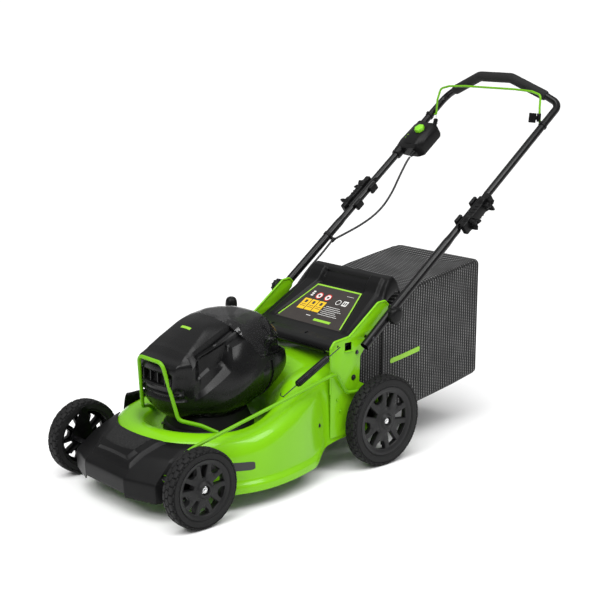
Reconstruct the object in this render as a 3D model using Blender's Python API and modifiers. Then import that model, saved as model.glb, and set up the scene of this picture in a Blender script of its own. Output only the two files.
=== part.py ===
"""Walk-behind push lawn mower with a rear grass bag, a folding handle and a battery motor.

Metres, +Z up. The front points along -Y and the operator's left is +X. The origin is on the
ground below the middle of the mower; the rear axle line lies at Y = 0.
"""

import math

import bmesh
import bpy
from mathutils import Matrix, Vector

# Wheels
WHEELBASE = 0.6474
FRONT_RADIUS = 0.1016
REAR_RADIUS = 0.127
FRONT_FACE_X = 0.2841
REAR_FACE_X = 0.2555
FRONT_WIDTH = 0.045
REAR_WIDTH = 0.041
HOLES_PER_RIM = 10

# Height adjustment: both axles are cranks, and these are offsets (Y, Z) from a crank's pivot
WHEEL_OFFSET = (0.045, -0.012)
PIN_OFFSET = (0.030, 0.072)
CRANK_THICKNESS = 0.0027
REAR_CRANK_X = 0.2005
FRONT_CRANK_X = 0.2285
AXLE_RADIUS = 0.006
STUB_RADIUS = 0.005

# Deck
DECK_CENTRE_Y = -0.42
DECK_SHEET = 0.0025
CHUTE_HALF_WIDTH = 0.1968
CHUTE_REAR_Y = 0.055
CHUTE_ANGLE = 141.0
BRACKET_X = 0.1975
BRACKET_SHEET = 0.0025

# Handle: lower and upper tubes meet in a half-lap joint
TUBE_RADIUS = 0.0111
TUBE_WALL = 0.0016
LOWER_TUBE_X = 0.2215
UPPER_TUBE_X = 0.2265
LAP_X = 0.2224
HANDLE_SLOPE = math.atan(0.752)
LOWER_BOLT = (0.328, 0.6399)
BOLT_SPACING = 0.0751
LAP_OVERHANG = 0.020
FOLD_PIVOT = (-0.035, 0.3628)
LOCK_POINT = (0.034, 0.4175)
GRIP_RADIUS = 0.0152
BAIL_PIVOT = (0.669, 0.895)
BAIL_RADIUS = 0.0033

# Hood, lid, door and bag
LID_HINGE = (-0.4285, 0.4565)
DOOR_HINGE = (-0.136, 0.3335)
BLADE_HEIGHT = 0.080
BLADE_LENGTH = 0.500
FLAP_HINGE = (-0.240, 0.190)

GAP = 0.0003
ALONG_X = (0.0, math.pi / 2, 0.0)
PLATE_TURN = (math.pi / 2, 0.0, math.pi / 2)
HANDLE_FORWARD = Vector((0.0, math.cos(HANDLE_SLOPE), math.sin(HANDLE_SLOPE)))
HANDLE_UP = Vector((0.0, -math.sin(HANDLE_SLOPE), math.cos(HANDLE_SLOPE)))


# Scene helpers

def clear_scene():
    for obj in list(bpy.data.objects):
        bpy.data.objects.remove(obj, do_unlink=True)


def new_collection(name):
    collection = bpy.data.collections.new(name)
    bpy.context.scene.collection.children.link(collection)
    return collection


clear_scene()
PARTS = new_collection("push_mower")
HELPERS = new_collection("cutters")


def material(name, colour, roughness, metallic=0.0, alpha=1.0):
    made = bpy.data.materials.new(name)
    made.use_nodes = True
    shader = made.node_tree.nodes["Principled BSDF"]
    shader.inputs["Base Color"].default_value = (*colour, 1.0)
    shader.inputs["Roughness"].default_value = roughness
    shader.inputs["Metallic"].default_value = metallic
    shader.inputs["Alpha"].default_value = alpha
    return made


LIME = material("lime_paint", (0.22, 0.62, 0.02), 0.25)
BLACK_PAINT = material("black_paint", (0.02, 0.02, 0.02), 0.4)
BLACK_PLASTIC = material("black_plastic", (0.03, 0.03, 0.03), 0.5)
SMOKED = material("smoked_plastic", (0.02, 0.02, 0.02), 0.1, alpha=0.6)
RUBBER = material("tyre_rubber", (0.02, 0.02, 0.02), 0.85)
FOAM = material("foam", (0.02, 0.02, 0.02), 0.9)
STEEL = material("steel", (0.55, 0.55, 0.56), 0.3, 1.0)
ALUMINIUM = material("aluminium", (0.7, 0.7, 0.7), 0.4, 1.0)
BAG_CLOTH = material("bag_cloth", (0.05, 0.05, 0.05), 0.9)
LIME_PLASTIC = material("lime_plastic", (0.22, 0.62, 0.02), 0.4)


def pivot(name, location):
    """An empty on a joint's axis, which the moving pieces hang from."""
    empty = bpy.data.objects.new(name, None)
    empty.location = location
    empty.empty_display_size = 0.03
    PARTS.objects.link(empty)
    return empty


def sub_part(obj, finish, parent=None):
    """Makes obj a named part: its material, its collection and the pivot it hangs from."""
    obj.data.materials.clear()
    obj.data.materials.append(finish)
    for collection in list(obj.users_collection):
        collection.objects.unlink(obj)
    PARTS.objects.link(obj)
    if obj.type == "MESH":
        obj.data.shade_smooth()
        obj.data.set_sharp_from_angle(angle=math.radians(35))
    if parent:
        obj.parent = parent
        obj.location = Vector(obj.location) - Vector(parent.location)
    return obj


def helper(obj):
    """Keeps obj out of the model: it only cuts, or is joined to, a part."""
    obj.hide_render = True
    obj.display_type = "WIRE"
    return obj


def mesh_object(name, mesh_data, location=(0.0, 0.0, 0.0), rotation=(0.0, 0.0, 0.0)):
    mesh = bpy.data.meshes.new(name)
    mesh_data.to_mesh(mesh)
    mesh_data.free()
    obj = bpy.data.objects.new(name, mesh)
    obj.location = location
    obj.rotation_euler = rotation
    HELPERS.objects.link(obj)
    return obj


def box(name, low, high, bevel=0.0, rotation=(0.0, 0.0, 0.0)):
    low = Vector(low)
    high = Vector(high)
    shape = bmesh.new()
    bmesh.ops.create_cube(shape, size=1.0)
    bmesh.ops.scale(shape, vec=high - low, verts=shape.verts)
    obj = mesh_object(name, shape, (low + high) / 2, rotation)
    if bevel:
        soften(obj, bevel)
    return obj


def soften(obj, width, segments=2):
    edge = obj.modifiers.new("rounded_edges", "BEVEL")
    edge.width = width
    edge.segments = segments
    edge.limit_method = "ANGLE"
    edge.angle_limit = math.radians(40)


def rod(name, start, end, radius, sides=12, end_radius=None):
    """A cylinder or cone between two points."""
    start = Vector(start)
    end = Vector(end)
    shape = bmesh.new()
    bmesh.ops.create_cone(shape, cap_ends=True, segments=sides, radius1=radius,
                          radius2=radius if end_radius is None else end_radius,
                          depth=(end - start).length)
    turn = (end - start).to_track_quat("Z", "Y").to_euler()
    return mesh_object(name, shape, (start + end) / 2, turn)


def turned(name, profile, location, rotation=ALONG_X, steps=24):
    """A closed profile of (radius, height) turned about its own Z."""
    shape = bmesh.new()
    corners = [shape.verts.new((radius, 0.0, height)) for radius, height in profile]
    closed = profile[0][0] > 0.0
    for first, second in zip(corners, corners[1:]):
        shape.edges.new((first, second))
    if closed:
        shape.edges.new((corners[-1], corners[0]))
    obj = mesh_object(name, shape, location, rotation)
    screw = obj.modifiers.new("turned", "SCREW")
    screw.steps = steps
    screw.render_steps = steps
    screw.use_merge_vertices = True
    screw.merge_threshold = 0.0001
    return obj


def poly_curve(name, splines, cyclic, dimensions):
    data = bpy.data.curves.new(name, "CURVE")
    data.dimensions = dimensions
    for points in splines:
        spline = data.splines.new("POLY")
        spline.points.add(len(points) - 1)
        for point, place in zip(spline.points, points):
            point.co = (*place, 1.0) if len(place) == 3 else (*place, 0.0, 1.0)
        spline.use_cyclic_u = cyclic
    obj = bpy.data.objects.new(name, data)
    HELPERS.objects.link(obj)
    return obj


def plate(name, outlines, low, high, bevel=0.0):
    """A flat sheet between X = low and X = high from outlines in (Y, Z); inner ones are holes."""
    obj = poly_curve(name, outlines, True, "2D")
    obj.data.fill_mode = "BOTH"
    obj.data.extrude = (high - low) / 2
    obj.location = ((low + high) / 2, 0.0, 0.0)
    obj.rotation_euler = PLATE_TURN
    obj = as_mesh(obj)
    if bevel:
        soften(obj, bevel)
    return obj


def as_mesh(obj):
    """The curve's evaluated mesh as a new object in its place, with its caps welded on."""
    bpy.context.view_layer.update()
    graph = bpy.context.evaluated_depsgraph_get()
    mesh = bpy.data.meshes.new_from_object(obj.evaluated_get(graph))
    shape = bmesh.new()
    shape.from_mesh(mesh)
    bmesh.ops.remove_doubles(shape, verts=shape.verts, dist=0.00001)
    bmesh.ops.recalc_face_normals(shape, faces=shape.faces)
    shape.to_mesh(mesh)
    shape.free()
    name = obj.name
    made = bpy.data.objects.new(name, mesh)
    made.matrix_world = obj.matrix_world.copy()
    bpy.data.objects.remove(obj, do_unlink=True)
    made.name = name
    HELPERS.objects.link(made)
    return made


def tube(name, points, radius, detail=2, wall=0.0, cyclic=False):
    """A bent tube or wire along points; with a wall thickness it is hollow and open-ended."""
    obj = poly_curve(name, [points], cyclic, "3D")
    obj.data.bevel_depth = radius
    obj.data.bevel_resolution = detail
    obj.data.use_fill_caps = not (wall or cyclic)
    if wall:
        obj = as_mesh(obj)
        skin = obj.modifiers.new("wall", "SOLIDIFY")
        skin.thickness = wall
        skin.offset = -1.0
    return obj


def rounded(points, radius, steps=4):
    """The polyline with each inner corner replaced by an arc."""
    points = [Vector(point) for point in points]
    path = [points[0]]
    for before, corner, after in zip(points, points[1:], points[2:]):
        inward = (before - corner).normalized()
        outward = (after - corner).normalized()
        half = inward.angle(outward) / 2
        reach = min(radius / math.tan(half), 0.49 * (before - corner).length,
                    0.49 * (after - corner).length)
        start = corner + inward * reach
        end = corner + outward * reach
        centre = corner + (inward + outward).normalized() * reach / math.cos(half)
        for step in range(steps + 1):
            share = step / steps
            swing = (start - centre).slerp(end - centre, share)
            path.append(centre + swing * (start - centre).length)
    path.append(points[-1])
    return [tuple(point) for point in path]


def circle(centre, radius, sides=12):
    return [(centre[0] + radius * math.cos(math.tau * k / sides),
             centre[1] + radius * math.sin(math.tau * k / sides)) for k in range(sides)]


def combine(obj, others, operation):
    for other in others:
        step = obj.modifiers.new(operation.lower(), "BOOLEAN")
        step.operation = operation
        step.object = helper(other)
        step.solver = "EXACT"
    return obj


def cut(obj, *cutters):
    return combine(obj, cutters, "DIFFERENCE")


def joined(obj, *others):
    return combine(obj, others, "UNION")


def skinned_grid(name, rows, wrap, thickness, offset=-1.0):
    """An open surface through rows of points, made solid with Solidify."""
    shape = bmesh.new()
    grid = [[shape.verts.new(point) for point in row] for row in rows]
    for upper, lower in zip(grid, grid[1:]):
        count = len(upper) if wrap else len(upper) - 1
        for k in range(count):
            following = (k + 1) % len(upper)
            shape.faces.new((upper[k], upper[following], lower[following], lower[k]))
    bmesh.ops.recalc_face_normals(shape, faces=shape.faces)
    obj = mesh_object(name, shape)
    skin = obj.modifiers.new("sheet", "SOLIDIFY")
    skin.thickness = thickness
    skin.offset = offset
    return obj


def mirrored(points):
    return [(-x, y, z) for x, y, z in points]


def blend(low, high, share):
    share = min(max(share, 0.0), 1.0)
    share = share * share * (3 - 2 * share)
    return low + (high - low) * share


# Deck

def deck_outline(angle):
    """Distance from the deck's centre to its skirt, angle in degrees from the front."""
    if angle <= 90:
        return 0.258
    if angle < CHUTE_ANGLE:
        return 0.258 + 0.0545 * ((angle - 90) / (CHUTE_ANGLE - 90)) ** 2.5
    sine = max(math.sin(math.radians(angle)), 0.001)
    cosine = -math.cos(math.radians(angle))
    return min(CHUTE_HALF_WIDTH / sine, (CHUTE_REAR_Y - DECK_CENTRE_Y) / cosine)


def deck_profile(angle):
    """(radius, height) from the motor opening over the ring and down to the lip."""
    rise = blend(0.0, 0.125, (angle - 68) / 120)
    skirt = deck_outline(angle)
    stretch = skirt / 0.258
    flare = blend(0.010, 0.0, (angle - 125) / 15)
    lift = blend(0.0, 0.045, (angle - 125) / 25)
    return [
        (0.030, 0.148),
        (0.130, 0.148),
        (0.150, 0.156 + 0.05 * rise),
        (0.168, 0.174 + 0.35 * rise),
        (0.190 * (1 + 0.35 * (stretch - 1)), 0.188 + 0.85 * rise),
        (0.214 * (1 + 0.8 * (stretch - 1)), 0.188 + rise),
        (0.238 * stretch, 0.174 + rise),
        (0.251 * stretch, 0.150 + 0.9 * rise),
        (0.256 * stretch, 0.112 + 0.3 * rise),
        (skirt, 0.082 + lift),
        (skirt + flare, 0.066 + lift),
        (skirt + flare, 0.048 + lift),
    ]


def build_deck():
    sides = 48
    rows = [[] for _ in deck_profile(0)]
    for k in range(sides):
        turn = 360.0 * k / sides
        angle = turn if turn <= 180 else 360 - turn
        side = math.sin(math.radians(turn))
        ahead = math.cos(math.radians(turn))
        for row, (radius, height) in zip(rows, deck_profile(angle)):
            row.append((radius * side, DECK_CENTRE_Y - radius * ahead, height))
    deck = skinned_grid("deck_shell", rows, True, DECK_SHEET)
    rear_pivot = crank_pivot()
    cut(deck, box("chute_mouth", (-0.165, -0.01, 0.12), (0.165, 0.10, 0.285)),
        rod("axle_bores", (-0.25, *rear_pivot), (0.25, *rear_pivot), AXLE_RADIUS + 0.001),
        box("side_port", (-0.30, -0.495, 0.090), (-0.22, -0.365, 0.150)))
    return sub_part(deck, LIME)


def nose_front(share):
    """A point (X, Y) on the nose's front edge, share from -1 at the right to 1 at the left."""
    corners = [(0.0, 0.0, -0.7535), (0.45, 0.088, -0.7535), (0.85, 0.178, -0.722),
               (1.0, 0.203, -0.640)]
    size = abs(share)
    for (start, x0, y0), (end, x1, y1) in zip(corners, corners[1:]):
        if size <= end:
            part = (size - start) / (end - start)
            return math.copysign(x0 + (x1 - x0) * part, share), y0 + (y1 - y0) * part
    return math.copysign(corners[-1][1], share), corners[-1][2]


def build_nose():
    columns = [-1, -0.925, -0.85, -0.65, -0.46, -0.44, -0.22, 0,
               0.22, 0.44, 0.46, 0.65, 0.85, 0.925, 1]
    heights = [(0.0, 0.1765), (0.2, 0.170), (0.5, 0.152), (0.85, 0.118), (0.97, 0.106)]
    rows = [[] for _ in range(len(heights) + 3)]
    for share in columns:
        swing = math.radians(47 * share)
        back = Vector((0.2405 * math.sin(swing), DECK_CENTRE_Y - 0.2405 * math.cos(swing)))
        front = Vector(nose_front(share))
        for row, (part, height) in zip(rows, heights):
            row.append((*back.lerp(front, part), height))
        bottom = 0.064 if abs(share) < 0.45 else 0.054
        rows[-3].append((*front, 0.098))
        rows[-2].append((*front, 0.080))
        rows[-1].append((*back.lerp(front, 0.985), bottom))
    nose = skinned_grid("nose_cover", rows, False, DECK_SHEET)
    front_pivot = crank_pivot(front=True)
    cut(nose, rod("nose_bores", (-0.25, *front_pivot), (0.25, *front_pivot),
                  AXLE_RADIUS + 0.002))
    return sub_part(nose, BLACK_PLASTIC)


def build_brackets():
    outline = [(-0.163, 0.100), (-0.163, 0.350), (-0.150, 0.366), (-0.095, 0.372),
               (0.012, 0.449), (0.038, 0.451), (0.052, 0.437), (0.048, 0.424), (0.012, 0.389),
               (0.044, 0.389), (0.044, 0.379), (0.002, 0.377), (-0.022, 0.350), (-0.054, 0.312),
               (-0.057, 0.240), (0.010, 0.205), (0.050, 0.170), (0.050, 0.100)]
    window = [(-0.1115, 0.335), (-0.0865, 0.335), (-0.0865, 0.357), (-0.1115, 0.357)]
    bores = [circle(FOLD_PIVOT, 0.0045), circle(crank_pivot(), AXLE_RADIUS + 0.001),
             circle((-0.137, 0.352), 0.003, 8), circle((-0.067, 0.3245), 0.0045, 8),
             circle((-0.079, 0.256), 0.006, 8)]
    for side, name in ((1, "bracket_left"), (-1, "bracket_right")):
        faces = sorted((side * BRACKET_X, side * (BRACKET_X + BRACKET_SHEET)))
        sub_part(plate(name, [outline, window, *bores], *faces), LIME)


# Motor, hood, battery

def build_motor():
    base = turned("motor_base", [(0.075, 0.2010), (0.100, 0.2010), (0.113, 0.170),
                                 (0.121, 0.1483), (0.075, 0.1483)],
                  (0.0, DECK_CENTRE_Y, 0.0), (0.0, 0.0, 0.0), 32)
    sub_part(base, BLACK_PLASTIC)
    motor = turned("motor", [(0.0, 0.262), (0.045, 0.262), (0.060, 0.250), (0.060, 0.160),
                             (0.074, 0.156), (0.074, 0.1483), (0.0, 0.1483)],
                   (0.0, DECK_CENTRE_Y, 0.0), (0.0, 0.0, 0.0), 24)
    sub_part(motor, ALUMINIUM)
    battery = box("battery", (-0.040, -0.390, 0.275), (0.040, -0.275, 0.398), 0.008)
    sub_part(battery, BLACK_PLASTIC)


HOOD_SECTIONS = [
    # height, front Y, rear Y, half-width at the front, middle and rear
    (0.2015, -0.546, -0.320, 0.056, 0.104, 0.055),
    (0.222, -0.566, -0.290, 0.064, 0.126, 0.068),
    (0.255, -0.584, -0.254, 0.074, 0.142, 0.085),
    (0.300, -0.592, -0.222, 0.082, 0.150, 0.096),
    (0.350, -0.588, -0.224, 0.090, 0.140, 0.090),
    (0.370, -0.562, -0.232, 0.084, 0.132, 0.086),
    (0.402, -0.514, -0.248, 0.074, 0.116, 0.078),
    (0.434, -0.466, -0.276, 0.060, 0.092, 0.064),
    (0.450, -0.425, -0.315, 0.036, 0.058, 0.042),
]


def hood_row(height, front, rear, front_width, mid_width, rear_width):
    length = rear - front
    half = [(0.0, front - 0.008), (0.75 * front_width, front), (front_width, front + 0.012),
            (0.5 * (front_width + mid_width), front + 0.22 * length),
            (mid_width, front + 0.46 * length),
            (0.45 * rear_width + 0.55 * mid_width, front + 0.78 * length),
            (rear_width, rear - 0.014), (0.65 * rear_width, rear), (0.0, rear + 0.003)]
    loop = half + [(-x, y) for x, y in half[-2:0:-1]]
    return [(x, y, height) for x, y in loop]


def hood_form(name):
    """The whole hood as a closed-top shell, open below."""
    rows = [hood_row(*section) for section in HOOD_SECTIONS]
    shape = bmesh.new()
    grid = [[shape.verts.new(point) for point in row] for row in rows]
    for lower, upper in zip(grid, grid[1:]):
        for k in range(len(lower)):
            following = (k + 1) % len(lower)
            shape.faces.new((lower[k], lower[following], upper[following], upper[k]))
    last = grid[-1]
    half = len(last) // 2
    ridge = [last[k] for k in range(half + 1)]
    far = [last[0]] + [last[-k] for k in range(1, half)] + [last[half]]
    for k in range(half):
        near_pair = (ridge[k], ridge[k + 1])
        far_pair = (far[k + 1], far[k])
        corners = [corner for corner in near_pair + far_pair]
        unique = list(dict.fromkeys(corners))
        shape.faces.new(unique)
    bmesh.ops.recalc_face_normals(shape, faces=shape.faces)
    obj = mesh_object(name, shape)
    smooth = obj.modifiers.new("soft_form", "SUBSURF")
    smooth.levels = 1
    smooth.render_levels = 1
    skin = obj.modifiers.new("wall", "SOLIDIFY")
    skin.thickness = 0.003
    skin.offset = -1.0
    return obj


def lid_region(name, gap):
    """The volume the battery lid occupies, in front of it the hood, pulled in by a gap."""
    hinge_y, hinge_z = LID_HINGE
    outline = [(hinge_y + gap, hinge_z + 0.10), (hinge_y + gap, hinge_z - 0.004),
               (-0.345 + gap, 0.345 + gap), (-0.10, 0.335 + gap), (-0.10, hinge_z + 0.10)]
    return plate(name, [outline], -0.25, 0.25)


def build_hood():
    hood = hood_form("motor_hood")
    cut(hood, lid_region("lid_opening", 0.0))
    sub_part(hood, BLACK_PLASTIC)
    lid = hood_form("battery_lid")
    combine(lid, [lid_region("lid_shape", GAP)], "INTERSECT")
    sub_part(lid, SMOKED, pivot("lid_hinge", (0.0, *LID_HINGE)))


def build_guard():
    half = [(0.142, -0.496, 0.1765), (0.116, -0.533, 0.1985), (0.079, -0.576, 0.213),
            (0.051, -0.603, 0.362)]
    path = half + mirrored(half[::-1])
    return sub_part(tube("front_guard", rounded(path, 0.018, 3), 0.005, 2), LIME)


# Blade

def build_blade():
    spindle = pivot("blade_spindle", (0.0, DECK_CENTRE_Y, BLADE_HEIGHT))
    centre = (0.0, DECK_CENTRE_Y)
    shaft = rod("motor_shaft", (*centre, 0.0955), (*centre, 0.1480), 0.0125, 16)
    sub_part(shaft, STEEL, spindle)
    adapter = turned("blade_adapter", [(0.0, 0.0952), (0.020, 0.0952), (0.034, 0.090),
                                       (0.034, 0.0843), (0.0, 0.0843)],
                     (*centre, 0.0), (0.0, 0.0, 0.0), 20)
    sub_part(adapter, ALUMINIUM, spindle)
    half = BLADE_LENGTH / 2
    bar = box("blade", (-half, DECK_CENTRE_Y - 0.027, BLADE_HEIGHT),
              (half, DECK_CENTRE_Y + 0.027, BLADE_HEIGHT + 0.004))
    sails = []
    for side in (-1, 1):
        middle = side * (half - 0.045)
        edge = DECK_CENTRE_Y - side * 0.024
        sails.append(box("sail", (middle - 0.040, edge - 0.012, BLADE_HEIGHT + 0.0015),
                         (middle + 0.040, edge + 0.012, BLADE_HEIGHT + 0.0045), 0.0,
                         (-side * 0.5, 0.0, 0.0)))
    joined(bar, *sails)
    cut(bar, rod("bolt_hole", (*centre, 0.06), (*centre, 0.10), 0.0085, 12))
    sub_part(bar, STEEL, spindle)
    bolt = turned("blade_bolt", [(0.0, 0.0840), (0.0080, 0.0840), (0.0080, 0.0797),
                                 (0.0160, 0.0797), (0.0160, 0.0777), (0.0110, 0.0777),
                                 (0.0110, 0.0690), (0.0, 0.0690)],
                  (*centre, 0.0), (0.0, 0.0, 0.0), 12)
    sub_part(bolt, STEEL, spindle)


# Wheels and axles

def crank_pivot(front=False):
    """(Y, Z) of an axle's pivot in the deck."""
    wheel_y = -WHEELBASE if front else 0.0
    wheel_z = FRONT_RADIUS if front else REAR_RADIUS
    return wheel_y - WHEEL_OFFSET[0], wheel_z - WHEEL_OFFSET[1]


def crank_pin(front=False):
    pivot_y, pivot_z = crank_pivot(front)
    return pivot_y + PIN_OFFSET[0], pivot_z + PIN_OFFSET[1]


def hull_outline(discs, steps=5):
    """The outline round several discs (Y, Z, radius), given anticlockwise."""
    outline = []
    count = len(discs)
    for k, (y, z, radius) in enumerate(discs):
        before = discs[k - 1]
        after = discs[(k + 1) % count]
        start = math.atan2(z - before[1], y - before[0]) - math.pi / 2
        end = math.atan2(after[1] - z, after[0] - y) - math.pi / 2
        if end < start:
            end += math.tau
        for step in range(steps + 1):
            angle = start + (end - start) * step / steps
            outline.append((y + radius * math.cos(angle), z + radius * math.sin(angle)))
    return outline


def build_axle(front, parent):
    name = "front_axle" if front else "rear_axle"
    pivot_y, pivot_z = crank_pivot(front)
    wheel_y = pivot_y + WHEEL_OFFSET[0]
    wheel_z = pivot_z + WHEEL_OFFSET[1]
    crank_x = FRONT_CRANK_X if front else REAR_CRANK_X
    face_x = FRONT_FACE_X if front else REAR_FACE_X
    middle = crank_x + CRANK_THICKNESS / 2
    axle = rod(name, (-middle, pivot_y, pivot_z), (middle, pivot_y, pivot_z), AXLE_RADIUS)
    pin_y, pin_z = crank_pin(front)
    outline = hull_outline([(pivot_y, pivot_z, 0.014), (wheel_y, wheel_z, 0.012),
                            (pin_y, pin_z, 0.009)])
    pieces = []
    for side in (-1, 1):
        faces = sorted((side * crank_x, side * (crank_x + CRANK_THICKNESS)))
        pieces.append(plate("crank", [outline], *faces))
        pieces.append(rod("stub", (side * middle, wheel_y, wheel_z),
                          (side * (face_x - 0.012), wheel_y, wheel_z), STUB_RADIUS))
    joined(axle, *pieces)
    return sub_part(axle, STEEL, parent)


def build_wheel(front, side, axle_parent):
    radius = FRONT_RADIUS if front else REAR_RADIUS
    width = FRONT_WIDTH if front else REAR_WIDTH
    face = FRONT_FACE_X if front else REAR_FACE_X
    wheel_y = -WHEELBASE if front else 0.0
    tag = ("front" if front else "rear") + ("_left" if side > 0 else "_right")
    middle = side * (face - 0.001 - width / 2)
    place = (middle, wheel_y, radius)
    spin = pivot("spin_" + tag, place)
    half = width / 2
    bead = 0.755 * radius
    turn = (0.0, side * math.pi / 2, 0.0)
    tyre = turned("tyre_" + tag,
                  [(bead, half - 0.005), (0.80 * radius, half), (0.93 * radius, half - 0.001),
                   (radius - 0.002, half - 0.007), (radius, half - 0.014),
                   (radius, 0.014 - half), (radius - 0.002, 0.007 - half),
                   (0.93 * radius, 0.001 - half), (0.80 * radius, -half),
                   (bead, 0.005 - half)], place, turn, 28)
    sub_part(tyre, RUBBER, spin)
    rim_out = bead - GAP
    bore = STUB_RADIUS + GAP
    web = half - 0.010
    rim = turned("rim_" + tag,
                 [(bore, half + 0.0005), (0.017, half + 0.0005), (0.021, web + 0.004),
                  (rim_out - 0.012, web + 0.003), (rim_out - 0.005, half - 0.003),
                  (rim_out, half - 0.003), (rim_out, 0.004 - half), (rim_out - 0.004, 0.004 - half),
                  (rim_out - 0.006, web - 0.003), (0.021, web - 0.003), (0.015, 0.002 - half),
                  (bore, 0.002 - half)], place, turn, 28)
    cut(rim, rim_holes(rim_out, half, place, turn))
    sub_part(rim, BLACK_PLASTIC, spin)
    nut = turned("hub_nut_" + tag,
                 [(0.0, half + 0.001), (0.006, half - 0.0005), (0.0085, half - 0.0035),
                  (0.0085, half - 0.0095), (0.0, half - 0.0095)], place, turn, 12)
    hub_seat(rim, nut, place, turn, half)
    sub_part(nut, STEEL, axle_parent)


def hub_seat(rim, nut, place, turn, half):
    """Sinks the rim's hub so that the nut sits in it without touching."""
    seat = turned("hub_seat", [(0.0, half + 0.01), (0.0115, half + 0.01),
                               (0.0115, half - 0.0098), (0.0, half - 0.0098)],
                  place, turn, 16)
    cut(rim, seat)


def rim_holes(rim_out, half, place, turn):
    """Ten wedges, alternately long slots and short outer windows, as one cutter."""
    shape = bmesh.new()
    for k in range(HOLES_PER_RIM):
        middle = math.tau * (k + 0.5) / HOLES_PER_RIM
        long_slot = k % 2 == 0
        inner = rim_out * (0.40 if long_slot else 0.62)
        outer = rim_out - 0.0078
        inner_half = 0.11 if long_slot else 0.19
        outer_half = 0.18 if long_slot else 0.23
        corners = []
        for height in (half * -0.2, half + 0.01):
            for reach, swing in ((inner, -inner_half), (outer, -outer_half),
                                 (outer, outer_half), (inner, inner_half)):
                angle = middle + swing
                corners.append(shape.verts.new((reach * math.cos(angle),
                                                reach * math.sin(angle), height)))
        low, high = corners[:4], corners[4:]
        shape.faces.new(low[::-1])
        shape.faces.new(high)
        for a in range(4):
            b = (a + 1) % 4
            shape.faces.new((low[a], low[b], high[b], high[a]))
    return mesh_object("rim_windows", shape, place, turn)


def build_height_adjuster(rear_parent):
    """The lever and its knob turn with the rear axle; the notched sector is fixed."""
    pivot_y, pivot_z = crank_pivot()
    outside = REAR_CRANK_X + CRANK_THICKNESS + GAP
    path = [(pivot_y - 0.012, pivot_z + 0.004), (pivot_y + 0.004, pivot_z + 0.012),
            (pivot_y + 0.020, pivot_z + 0.075), (-0.104, 0.300), (-0.178, 0.3850),
            (-0.1955, 0.3845), (-0.126, 0.290), (pivot_y - 0.004, pivot_z + 0.070)]
    lever = plate("height_lever", [path[::-1]], -(outside + 0.0022), -outside)
    joined(lever, box("lever_tang", (-(outside + 0.0022), -0.195, 0.3830),
                      (-0.183, -0.180, 0.3852)))
    sub_part(lever, STEEL, rear_parent)
    knob = turned("lever_knob", [(0.0, 0.0445), (0.009, 0.0430), (0.0155, 0.036),
                                 (0.0170, 0.022), (0.0145, 0.004), (0.009, 0.0), (0.0, 0.0)],
                  (-0.190, -0.188, 0.3855), (0.0, 0.0, 0.0), 16)
    sub_part(knob, BLACK_PLASTIC, rear_parent)


def build_quadrant():
    """A thin notched sector riveted beside the right bracket, under the lever."""
    pivot_y, pivot_z = crank_pivot()
    arc = [math.radians(90 + 6 * k) for k in range(9)]
    inner = [(pivot_y + 0.125 * math.cos(a), pivot_z + 0.125 * math.sin(a)) for a in arc]
    outer = []
    for k, a in enumerate(arc):
        reach = 0.150 if k % 2 else 0.145
        outer.append((pivot_y + reach * math.cos(a), pivot_z + reach * math.sin(a)))
    edge = BRACKET_X + BRACKET_SHEET + GAP
    sector = plate("height_quadrant", [inner[::-1] + outer], -(edge + 0.0022), -edge)
    return sub_part(sector, STEEL)


def build_link_rod(parent):
    front_pin = crank_pin(front=True)
    rear_pin = crank_pin()
    front_x = FRONT_CRANK_X - GAP - 0.0045
    rear_x = REAR_CRANK_X + CRANK_THICKNESS + GAP + 0.0046
    path = [(front_x, *front_pin), (front_x, -0.632, 0.1945), (front_x, -0.186, 0.2855),
            (rear_x + 0.002, -0.150, 0.2790), (rear_x, -0.112, 0.2220), (rear_x, *rear_pin)]
    return sub_part(tube("link_rod", rounded(path, 0.014, 3), 0.0045, 2), LIME, parent)


def build_spring():
    x = 0.2085
    top = Vector((x, -0.137, 0.3525))
    bottom = Vector((x, -0.336, 0.2570))
    along = (bottom - top).normalized()
    body = rod("assist_spring", top + along * 0.046, bottom - along * 0.048, 0.0085, 10)
    hooks = [tube("hook", [tuple(top), tuple(bottom)], 0.0013, 1)]
    return sub_part(joined(body, *[as_mesh(hook) for hook in hooks]), BLACK_PAINT)


# Handle

def on_handle(distance, rise=0.0, x=0.0):
    """A point on the upper handle line: distance beyond the lower clamp bolt, rise normal to it."""
    base = Vector((x, *LOWER_BOLT))
    return base + HANDLE_FORWARD * distance + HANDLE_UP * rise


def handle_box(name, x_range, along_range, rise_range, bevel=0.0):
    """A box squared up to the handle's slope, placed by distances from the lower clamp bolt."""
    size = Vector([high - low for low, high in (x_range, along_range, rise_range)])
    centre = on_handle(sum(along_range) / 2, sum(rise_range) / 2, sum(x_range) / 2)
    return box(name, centre - size / 2, centre + size / 2, bevel, (HANDLE_SLOPE, 0.0, 0.0))


def cross_bore(name, side, point, radius=0.0045):
    """A short drill along X through one side of the handle."""
    return rod(name, (side * 0.19, *point), (side * 0.29, *point), radius, 10)


def bolt_point(upper):
    place = on_handle(BOLT_SPACING if upper else 0.0)
    return place.y, place.z


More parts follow.
